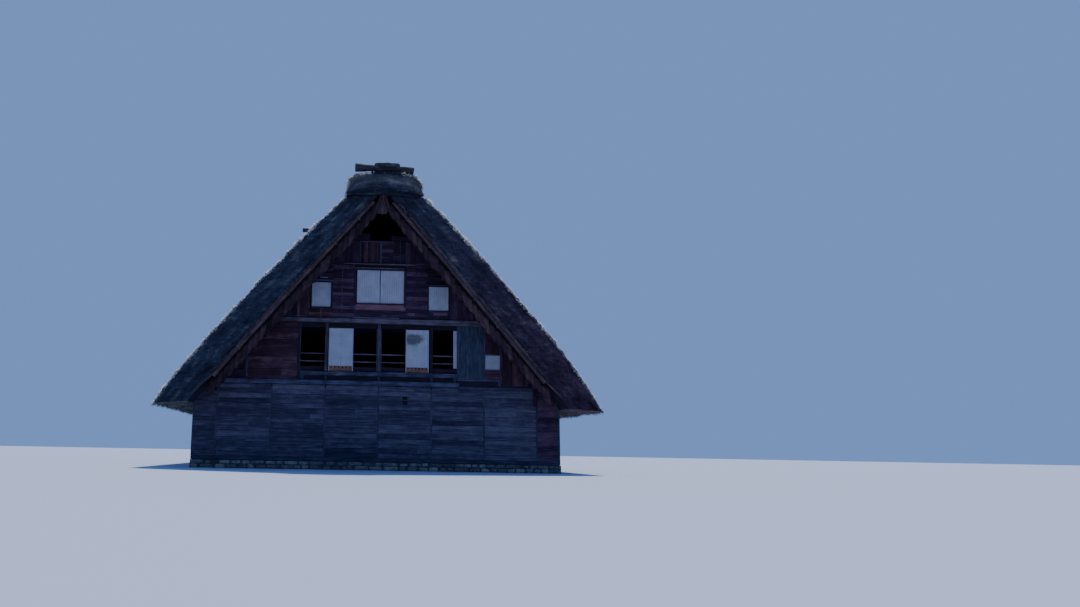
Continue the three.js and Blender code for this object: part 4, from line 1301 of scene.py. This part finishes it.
# How far each leaf's first and last edge lie from those of its solid, and how far out it stands
LEAF_SHIFTS = {
    "loft_window_small_right": (0.054, 0.075, 0.035), "loft_window_small_left": (0.04, 0.01, 0),
    "loft_window_back_small_right": (0.054, 0.075, 0.035), "loft_window_back_small_left": (0.04, 0.01, 0),
    "loft_window_left_leaf": (0.03, 0, 0), "gallery_window_right": (0, 0.05, 0.035),
    "gallery_shoji_2": (0.045, 0, 0),
}
BACK_LEAF_LAP = 0.015
KICK_SLOTS = 6
# The slots of a leaf
PAPER, BAR_WOOD, KICK_WOOD, SLOT_SHADE = range(4)


def paper_material():
    """Pasted paper, faintly mottled, its white painted as a blue-grey for the shade on it, with a soft
    greenish-grey patch near the head.
    """
    material, tree, shader = start_material("pasted_window_paper", 0.9)
    place = add_node(tree, "TexCoord").outputs["Object"]
    cloud = add_node(tree, "TexNoise", {"Scale": 2.4, "Detail": 4, "Roughness": 0.6}, {0: place})
    # Painted shade: the white paper is given these blue-greys.
    stops = [(0.3, "#979aa7"), (0.55, "#a5a5b0"), (0.8, "#b2b1ba")]
    colour = add_node(tree, "ValToRGB", {"stops": stops}, {0: cloud})
    # A soft greenish-grey patch near the head of one leaf
    from_greenish_patch = add_node(tree, "VectorMath", {"operation": "SUBTRACT", 1: GREENISH_PATCH_PLACE}, {0: place})
    shaped = add_node(tree, "VectorMath", {"operation": "MULTIPLY", 1: (0.62, 1, 1)}, {0: from_greenish_patch})
    distance = add_node(tree, "VectorMath", {"operation": "LENGTH"}, {0: shaped}).outputs["Value"]
    spread = add_node(tree, "Math", {"operation": "MULTIPLY_ADD", 1: 0.35}, {0: cloud, 2: distance})
    edge = {"From Min": 0.34, "From Max": 0.45, "To Min": 0.95, "To Max": 0.0}
    greenish_patch = add_node(tree, "MapRange", edge, {0: spread})
    tinted = add_node(tree, "Mix", {"data_type": "RGBA", 7: linear("#4f585a")}, {0: greenish_patch, 6: colour})
    cockle = add_node(tree, "TexNoise", {"Scale": 9.0, "Detail": 2}, {0: place})
    coat(tree, shader, tinted.outputs[2], cockle, 0.35, 0.006)
    return material


window_paper = paper_material()
leaf_cedar = wood_material("window_leaf_cedar", "#6b6b78", "#96949f", "#b9b6bd", grain_mm=8)
kick_cedar = wood_material("orange_cedar_kick_board", "#2c1a19", "#6f4740", "#9c7866", grain_mm=9)


def rectangle(x0, x1, y, z0, z1):
    return [(x0, y, z0), (x1, y, z0), (x1, y, z1), (x0, y, z1)]


def paper_leaf(name, nodes, low, high, facing, columns, rows, kick_z=None):
    """One leaf: stiles, rails, paper, the faint bars over it and, on the tall ones, a board at its foot."""
    heap = Heap(np.random.default_rng(len(name) + int(100 * abs(low[0]))))
    x0, x1, z0, z1 = low[0], high[0], low[2], high[2]
    back_y, face_y = (high[1], low[1]) if facing < 0 else (low[1], high[1])
    for x in (x0, x1 - STILE):
        timber(heap, (x, back_y, z0), (x + STILE, face_y, z1), 0.6, BAR_WOOD, 0.003, 0.001)
    left, far, head = x0 + STILE, x1 - STILE, z1 - STILE
    foot = (kick_z or z0) + STILE
    for z in (foot - STILE, head):
        timber(heap, (left, back_y, z), (far, face_y, z + STILE), 0.62, BAR_WOOD, 0.003, 0.001)
    inner_y = face_y - facing * 0.007
    proud_y = inner_y + facing * BAR_PROUD
    plank(heap, rectangle(left, far, inner_y, foot, head), (0, -facing * PAPER_SHEET, 0), 0.5, PAPER)
    for i in range(1, columns):
        x = blend(left, far, i / columns)
        timber(heap, (x - BAR / 2, inner_y, foot), (x + BAR / 2, proud_y, head), BAR_SHADE_TONE, BAR_WOOD, 0.001, 0)
    for i in range(1, rows):
        z = blend(foot, head, i / rows)
        timber(heap, (left, inner_y, z - BAR / 2), (far, proud_y, z + BAR / 2), 0.6, BAR_WOOD, 0.001, 0)
    if kick_z:
        plank(heap, rectangle(left, far, inner_y, z0, kick_z), (0, -facing * 0.012, 0), 0.6, KICK_WOOD)
        # Painted shade: each slot cut in the kick board is a dark strip on its face.
        for i in range(KICK_SLOTS):
            x = blend(left, far, (i + 0.5) / KICK_SLOTS)
            high_end = (x + 0.025, proud_y, kick_z - 0.012)
            timber(heap, (x - 0.025, inner_y, kick_z - 0.075), high_end, 0.1, SLOT_SHADE, 0.001, 0)
        timber(heap, (left, inner_y, z0), (far, face_y, z0 + 0.05), 0.45, KICK_WOOD, 0.003, 0.001)
    heap.piece(name, [window_paper, leaf_cedar, kick_cedar, smoked_boards], nodes)


# Each leaf, the columns and rows of its paper and whether it has a board at its foot
PAPER_LEAVES = [
    ("gallery_shoji_1", 2, 5, True), ("gallery_shoji_2", 2, 5, True), ("gallery_window_right", 2, 2, False),
    ("loft_window_left_leaf", 10, 2, False), ("loft_window_right_leaf", 10, 2, False),
    ("loft_window_small_left", 8, 2, False), ("loft_window_small_right", 8, 2, False),
    ("loft_window_back", 22, 2, False), ("loft_window_back_small_left", 8, 2, False),
    ("loft_window_back_small_right", 8, 2, False),
]
for name, columns, rows, kick in PAPER_LEAVES:
    low, high = [list(corner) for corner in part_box(name)]
    first_shift, last_shift, outward = LEAF_SHIFTS.get(name, (0, 0, 0))
    low[0] += first_shift
    high[0] += last_shift
    facing = -1 if low[1] < 0 else 1
    low[1] += facing * outward
    high[1] += facing * outward
    if kick:
        high[2] = HEAD_Z
    paper_leaf(f"paper_{name}", [name], low, high, facing, columns, rows, KICK_BOARD_TOP_Z if kick else None)

low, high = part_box("gallery_windows_back")
for number, x in enumerate(BACK_WINDOW_X, 1):
    reach = BACK_WINDOW_HALF_WIDTH + BACK_LEAF_LAP
    leaf_low = (x - reach, low.y, BACK_WINDOW_Z[0] - BACK_LEAF_LAP)
    leaf_high = (x + reach, high.y, BACK_WINDOW_Z[1] + BACK_LEAF_LAP)
    paper_leaf(f"paper_gallery_back_{number}", ["gallery_windows_back"], leaf_low, leaf_high, 1, 3, 5)


# The gallery
# Posts with two rails between them stand on a sill of planks, whose short stubs rest on the beam below. A
# header runs over the sliding leaves. One leaf shows only its edge beside the board shutter.
THIRD_LEAF = ((2.88, 5.38), (3.03, 3.915))
STUB_X = (-2.93, -2.03, 0.0, 2.03, 2.93)
POST_TONES = (0.48, 0.56, 0.08)
RAIL_RISE = {"gallery_rail_lower": 0.055, "gallery_rail_upper": 0.03}
# The planks of the sill and the stubs under it, the header over the leaves and the board behind their feet
SILL_PLANK_Z = 3.53
STUB_Z = (3.357, 3.528)
HEADER_X = ((-3.02, -2.1), (-1.96, -0.11), (0.11, 1.96), (2.1, 3.02))
HEADER_TOP_Z = 5.612
SKIRT_Z = (3.712, 3.93)
SHUTTER_FRAME = 0.05
SHUTTER_HEAD = 0.06

post_wood = wood_material("purple_grey_posts", "#14121a", "#39323f", "#75697a", grain_mm=12)
shutter_cedar = wood_material("silvered_shutter_boards", "#161a2a", "#30364a", "#5b6378", grain_mm=11)


def gallery():
    draw = np.random.default_rng(91)
    for number in (1, 2, 3):
        heap = Heap(draw)
        low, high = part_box(f"gallery_post_{number}")
        timber(heap, low, high, POST_TONES[number - 1], 0)
        if number == 2:
            for x0, x1 in ((low.x - 0.035, low.x - 0.002), (high.x + 0.002, high.x + 0.035)):
                timber(heap, (x0, low.y + 0.02, low.z), (x1, high.y - 0.02, HEAD_Z), 0.6, 0)
        heap.piece(f"hewn_gallery_post_{number}", [post_wood], [f"gallery_post_{number}"])
    for name in ("gallery_rail_lower", "gallery_rail_upper"):
        heap = Heap(draw)
        low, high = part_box(name)
        rise = RAIL_RISE[name]
        timber(heap, (low.x, low.y, low.z + rise + 0.014), (high.x, high.y, high.z + rise - 0.012), 0.7, 0)
        heap.piece(f"planed_{name}", [post_wood], [name])
    heap = Heap(draw)
    low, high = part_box("gallery_sill_front")
    timber(heap, (low.x, low.y, SILL_PLANK_Z), (high.x, high.y, high.z), 0.5, 0, 0.02, 0.01)
    plank(heap, rectangle(low.x, high.x, -WALL_Y + 0.03, *STUB_Z), (0, 0.09, 0), 0.24, 1)
    for x in STUB_X:
        timber(heap, (x - 0.06, low.y + 0.02, STUB_Z[0]), (x + 0.06, -WALL_Y + 0.1, STUB_Z[1]), 0.45, 0)
    materials = [greyed_boards, smoked_boards]
    heap.piece("planked_gallery_sill", materials, ["gallery_sill_front"])
    heap = Heap(draw, gable_spot(-1))
    for x0, x1 in HEADER_X:
        timber(heap, (x0, HEAD_Z + 0.01, -0.11), (x1, HEADER_TOP_Z, -0.02), 0.12)
        timber(heap, (x0, SKIRT_Z[0], -0.114), (x1, SKIRT_Z[1], -0.09), 0.3)
    heap.piece("gallery_header", [smoked_boards])
    (x0, z1), (x1, z0) = THIRD_LEAF
    paper_leaf("paper_gallery_third", (), (x0, -WALL_Y + 0.066, z0), (x1, -WALL_Y + 0.1, z1), -1, 1, 5)


def shutter():
    """The board shutter: upright planks in a frame, silvered by rain."""
    low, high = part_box("gallery_shutter")
    heap = Heap(np.random.default_rng(92), gable_spot(-1))
    depth = -low.y - WALL_Y
    inside = (low.x + SHUTTER_FRAME, high.x - SHUTTER_FRAME)
    boards(heap, inside, (low.z + 0.02, high.z - SHUTTER_HEAD), 0.1, True, False, out=0.006, spread=0.05)
    for x in (low.x, high.x - SHUTTER_FRAME):
        timber(heap, (x, low.z, 0.002), (x + SHUTTER_FRAME, high.z, depth), 0.62, 0, 0.004, 0.002)
    for z0, z1 in ((high.z - SHUTTER_HEAD, high.z), (low.z, low.z + 0.07)):
        timber(heap, (inside[0], z0, 0.002), (inside[1], z1, depth), 0.6, 0, 0.004, 0.002)
    heap.piece("boarded_gallery_shutter", [shutter_cedar], ["gallery_shutter"])


gallery()
shutter()


# The beams and the hood
# Long squared timbers across each gable carry the floors. A hood of two boards on a batten keeps the rain
# off the double window. At the right end a bracket, a post and a boarded panel stand under the verge.
LOWER_LEFT_Z = (3.172, 3.355)
LOWER_RIGHT_Z = (3.1, 3.205)
JOINT_X = 3.08
UPPER_ENDS = ((5.592, 5.735), (5.552, 5.778))
UPPER_LEDGE = ((-1.03, 5.762), (0.75, 5.82))
HOOD_FACE_Z = (7.862, 7.925)
HOOD_BATTEN_LOW = (-0.98, 7.748, 0.002)
HOOD_BATTEN_HIGH = (0.92, 7.785, 0.07)
HOOD_BRACKET_X = (-1.2, -0.4, 0.4, 1.15)
HOOD_OVERLAP = 0.1
STUB_BOX = ((-3.06, -9.9, 8.98), (-2.3, -9.7, 9.11))

beam_wood = wood_material("hewn_beam", "#161726", "#33344c", "#6a6b84", grain_mm=16)


def beams():
    draw = np.random.default_rng(95)
    for name in ("beam_front_lower", "beam_front_upper", "beam_back_lower", "beam_back_upper"):
        low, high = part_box(name)
        heap = Heap(draw)
        lengths = [(low, high, None)]
        if name == "beam_front_lower":
            lengths = [((low.x, low.y, LOWER_LEFT_Z[0]), (JOINT_X, high.y, LOWER_LEFT_Z[1]), None),
                       ((JOINT_X + 0.004, low.y, LOWER_RIGHT_Z[0]), (high.x, high.y, LOWER_RIGHT_Z[1]), None)]
        if name == "beam_front_upper":
            (x0, z0), (x1, z1) = UPPER_LEDGE
            lengths = [(low, high, UPPER_ENDS), ((x0, low.y + 0.012, z0), (x1, -WALL_Y, z1), None)]
        upper = name.endswith("upper")
        for length_low, length_high, ends in lengths:
            timber(heap, length_low, length_high, 0.68 if upper else 0.58, 0, 0.018, 0.008, 0.3, ends)
        heap.piece(f"hewn_{name}", [post_wood if upper else beam_wood], [name])


def hood():
    low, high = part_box("hood_front")
    heap = Heap(np.random.default_rng(96), gable_spot(-1))
    x0, x1 = low.x - HOOD_OVERLAP, high.x
    reach = -low.y - WALL_Y
    corners = [(x0, HOOD_FACE_Z[1], reach - 0.02), (x1, HOOD_FACE_Z[1], reach - 0.02),
               (x1, high.z - 0.01, 0.004), (x0, high.z - 0.01, 0.004)]
    plank(heap, corners, (0, 0, -0.025), 0.1, 1)
    timber(heap, (x0, HOOD_FACE_Z[0], reach - 0.035), (x1, HOOD_FACE_Z[1], reach), 0.62, 0)
    timber(heap, HOOD_BATTEN_LOW, HOOD_BATTEN_HIGH, 0.74, 0)
    for x in HOOD_BRACKET_X:
        bracket_top = (x + 0.025, HOOD_FACE_Z[1] - 0.02, reach - 0.06)
        timber(heap, (x - 0.025, HOOD_BATTEN_HIGH[1], 0.002), bracket_top, 0.2, 1)
    heap.piece("boarded_hood", [post_wood, smoked_boards], ["hood_front"])


def corner_parts():
    """The small parts that show at the lower right: bracket, short post, panel, peg and the end of a pole."""
    draw = np.random.default_rng(97)
    heap = Heap(draw, gable_spot(-1))
    timber(heap, (5.92, 3.06, 0.15), (6.22, 3.2, 0.36), 0.3, 0)
    timber(heap, (5.98, 2.52, 0.0), (6.08, 3.06, 0.1), 0.35, 0)
    boards(heap, (6.12, 6.78), (2.12, 2.94), 0.22, False, False, 0.7, 0, out=0.05)
    timber(heap, (6.1, 2.94, 0.0), (6.82, 2.985, 0.1), 0.72, 1)
    timber(heap, (6.8, 2.6, 0.02), (6.9, 2.7, 0.2), 0.78, 1)
    heap.piece("corner_parts", [smoked_boards, greyed_boards])


def slope_stub():
    """A short timber end that shows over the outline of the left slope, just behind the verge."""
    draw = np.random.default_rng(98)
    heap = Heap(draw)
    timber(heap, *STUB_BOX, 0.45, 0)
    heap.piece("slope_stub", [pole_cedar])


beams()
hood()
corner_parts()
slope_stub()


# The ground storey
# Walls of level boards between posts, greyed by snow and rain, on a sill. The posts stand one bay apart
# along the sides. A doorway in the right side has a board door slid open beside it.
BAY = 2.03
SIDE_X = 6.95
WALL_FOOT_Z = 0.3
FRONT_TOP_Z = 3.08
SIDE_TOP_Z = 2.58
DOORWAY = (-1.015, 1.015)

# Snow and rain have greyed these boards, and the blue cast in their colours is painted, for the cool light of
# the shade.
wall_boards = wood_material("snow_greyed_wall_boards", "#18162c", "#37334a", "#676174", grain_mm=14)
door_boards = wood_material("door_boards", "#1b1618", "#453937", "#7c6d66", grain_mm=11)


def ground_gable(side):
    facing = FACING[side]
    draw = np.random.default_rng(101 + facing)
    heap = Heap(draw, gable_spot(facing))
    posts = [i * BAY for i in (-3, -2, -1, 0, 1, 2, 3)]
    edges = [-SIDE_X] + posts + [SIDE_X]
    for left, far in zip(edges[:-1], edges[1:]):
        # The boards at the right of the front stand in shade and are painted lighter there.
        shaded = side == "front" and left > 4
        boards(heap, (left + 0.02, far - 0.02), (0.46, FRONT_TOP_Z + 0.088), 0.18, False, False,
               0.68 if shaded else 0.56, 1 if shaded and far == SIDE_X else 0, spread=0.09)
    for x in posts:
        timber(heap, (x - 0.055, WALL_FOOT_Z + 0.15, 0), (x + 0.055, FRONT_TOP_Z, 0.036), 0.5, 0)
    timber(heap, (-SIDE_X, WALL_FOOT_Z, 0), (SIDE_X, WALL_FOOT_Z + 0.16, 0.045), 0.42, 0)
    if side == "front":
        timber(heap, (0.88, 2.48, 0.02), (1.16, 2.78, 0.04), 0.02, 1)
    heap.piece(f"ground_boards_{side}", [wall_boards, smoked_boards])


def ground_side(hand):
    sign = SIGN[hand]
    draw = np.random.default_rng(103 + sign)
    heap = Heap(draw, side_spot(sign, SIDE_X))
    posts = [(i - 4.5) * BAY for i in range(10)]
    posts[0] += 0.07
    posts[-1] -= 0.07
    for left, far in zip(posts[:-1], posts[1:]):
        heights = (WALL_FOOT_Z + 0.16, SIDE_TOP_Z)
        if hand == "right" and abs(left + far) < 0.1:
            heights = (2.27, SIDE_TOP_Z)
        boards(heap, (left + 0.02, far - 0.02), heights, 0.26, False, False, 0.5, 0)
    for y in posts:
        timber(heap, (y - 0.06, WALL_FOOT_Z + 0.15, 0), (y + 0.06, SIDE_TOP_Z, 0.05), 0.54, 0)
    sills = [(-WALL_Y, DOORWAY[0]), (DOORWAY[1], WALL_Y)] if hand == "right" else [(-WALL_Y, WALL_Y)]
    for left, far in sills:
        timber(heap, (left, WALL_FOOT_Z, 0), (far, WALL_FOOT_Z + 0.16, 0.045), 0.42, 0)
    heap.piece(f"ground_boards_{hand}", [wall_boards])


def slid_door():
    """The door: upright boards on the outside of two ledges, standing inside the wall beside its doorway."""
    draw = np.random.default_rng(105)
    low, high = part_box("entrance_door")
    heap = Heap(draw)
    edges = np.linspace(low.y, high.y, 11)
    for left, far in zip(edges[:-1] + BOARD_GAP, edges[1:] - BOARD_GAP):
        corners = [(high.x, left, low.z), (high.x, left, high.z), (high.x, far, high.z), (high.x, far, low.z)]
        plank(heap, corners, (low.x + 0.02 - high.x, 0, 0), 0.5, 0)
    for z in (low.z + 0.2, high.z - 0.35):
        timber(heap, (low.x, low.y + 0.02, z), (low.x + 0.02, high.y - 0.02, z + 0.12), 0.5, 0)
    heap.piece("boarded_door", [door_boards], ["entrance_door"])


ground_gable("front")
ground_gable("back")
ground_side("left")
ground_side("right")
slid_door()
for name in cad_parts:
    if name.startswith(("lower_wall", "door_lintel")):
        recolour(name, sooty_wood)


# The plinth
# Two courses of rough field stones laid dry round the foot of the walls.
STONE_FACE = 0.03
STONE_COURSES = ((0.0, 0.16), (0.16, 0.3))
STONE_LENGTH = (0.26, 0.62)
STONE_STEPS = 4


def stone_material():
    """Weathered field stone: grey, with pits, rain streaks and spots of pale lichen."""
    material, tree, shader = start_material("lichened_field_stone", 0.9)
    lie = add_node(tree, "Attribute", {"attribute_name": "lie"}).outputs["Vector"]
    tone = add_node(tree, "Attribute", {"attribute_name": "tone"}).outputs["Fac"]
    rough = add_node(tree, "TexNoise", {"Scale": 7, "Detail": 7, "Roughness": 0.65}, {0: lie})
    light_here = lightness(tree, [(rough, 1.0), (tone, 0.6)])
    stops = [(0.5, "#33343a"), (0.8, "#5f5f63"), (1.0, "#8a8880")]
    colour = add_node(tree, "ValToRGB", {"stops": stops}, {0: light_here})
    spots = add_node(tree, "TexNoise", {"Scale": 13, "Detail": 3}, {0: lie})
    lichen = add_node(tree, "MapRange", {"From Min": 0.6, "From Max": 0.66, "To Max": 0.5}, {0: spots})
    mixed = add_node(tree, "Mix", {"data_type": "RGBA", 7: linear("#8d917f")}, {0: lichen, 6: colour})
    coat(tree, shader, mixed.outputs[2], rough, 0.7, 0.02)
    return material


field_stones = stone_material()


def field_stone(heap, low, high):
    """A box rounded into a stone."""
    low, high = np.array(low), np.array(high)
    middle, half_size = (low + high) / 2, (high - low) / 2
    shift = heap.draw.uniform(0, 40, 3)
    tone = heap.draw.uniform(0.2, 0.8)
    line = np.linspace(-1, 1, STONE_STEPS + 1)
    for axis in range(3):
        a, b = [i for i in range(3) if i != axis]
        first, second = np.meshgrid(line, line, indexing="ij")
        for end in (-1, 1):
            unit = np.zeros((first.size, 3))
            unit[:, a] = first.ravel()
            unit[:, b] = second.ravel()
            unit[:, axis] = end
            rounded = unit / np.maximum(1, (np.abs(unit) ** 5).sum(axis=1) ** 0.2)[:, None]
            points = middle + rounded * half_size
            points += 0.012 * lumps(points, 0.16, 7)[:, None] * unit
            points[:, 2] = np.maximum(points[:, 2], 0)
            faces = grid_faces(STONE_STEPS + 1, STONE_STEPS + 1)
            if (end > 0) == (axis == 1):
                faces = faces[:, ::-1]
            heap.add(points, faces, points + shift, tone, 0, True)


def plinth():
    draw = np.random.default_rng(111)
    low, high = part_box("foundation")
    heap = Heap(draw)
    for z0, z1 in STONE_COURSES:
        for axis, side_place, ends in ((0, low.y, (low.x, high.x)), (0, high.y, (low.x, high.x)),
                                       (1, low.x, (low.y, high.y)), (1, high.x, (low.y, high.y))):
            place = ends[0]
            while place < ends[1] - 0.05:
                length = min(draw.uniform(*STONE_LENGTH), ends[1] - place)
                inward = -1 if side_place > 0 else 1
                stone_low, stone_high = np.zeros(3), np.zeros(3)
                stone_low[axis], stone_high[axis] = place + 0.004, place + length - 0.004
                outer = side_place - inward * draw.uniform(0, STONE_FACE)
                pair = sorted((outer, side_place + inward * 0.14))
                stone_low[1 - axis], stone_high[1 - axis] = pair
                stone_low[2], stone_high[2] = z0 + 0.001, z1 + draw.uniform(-0.012, 0.0)
                field_stone(heap, stone_low, stone_high)
                place += length
    heap.piece("plinth_stones", [field_stones], weld=True)


plinth()
recolour("foundation", field_stones)
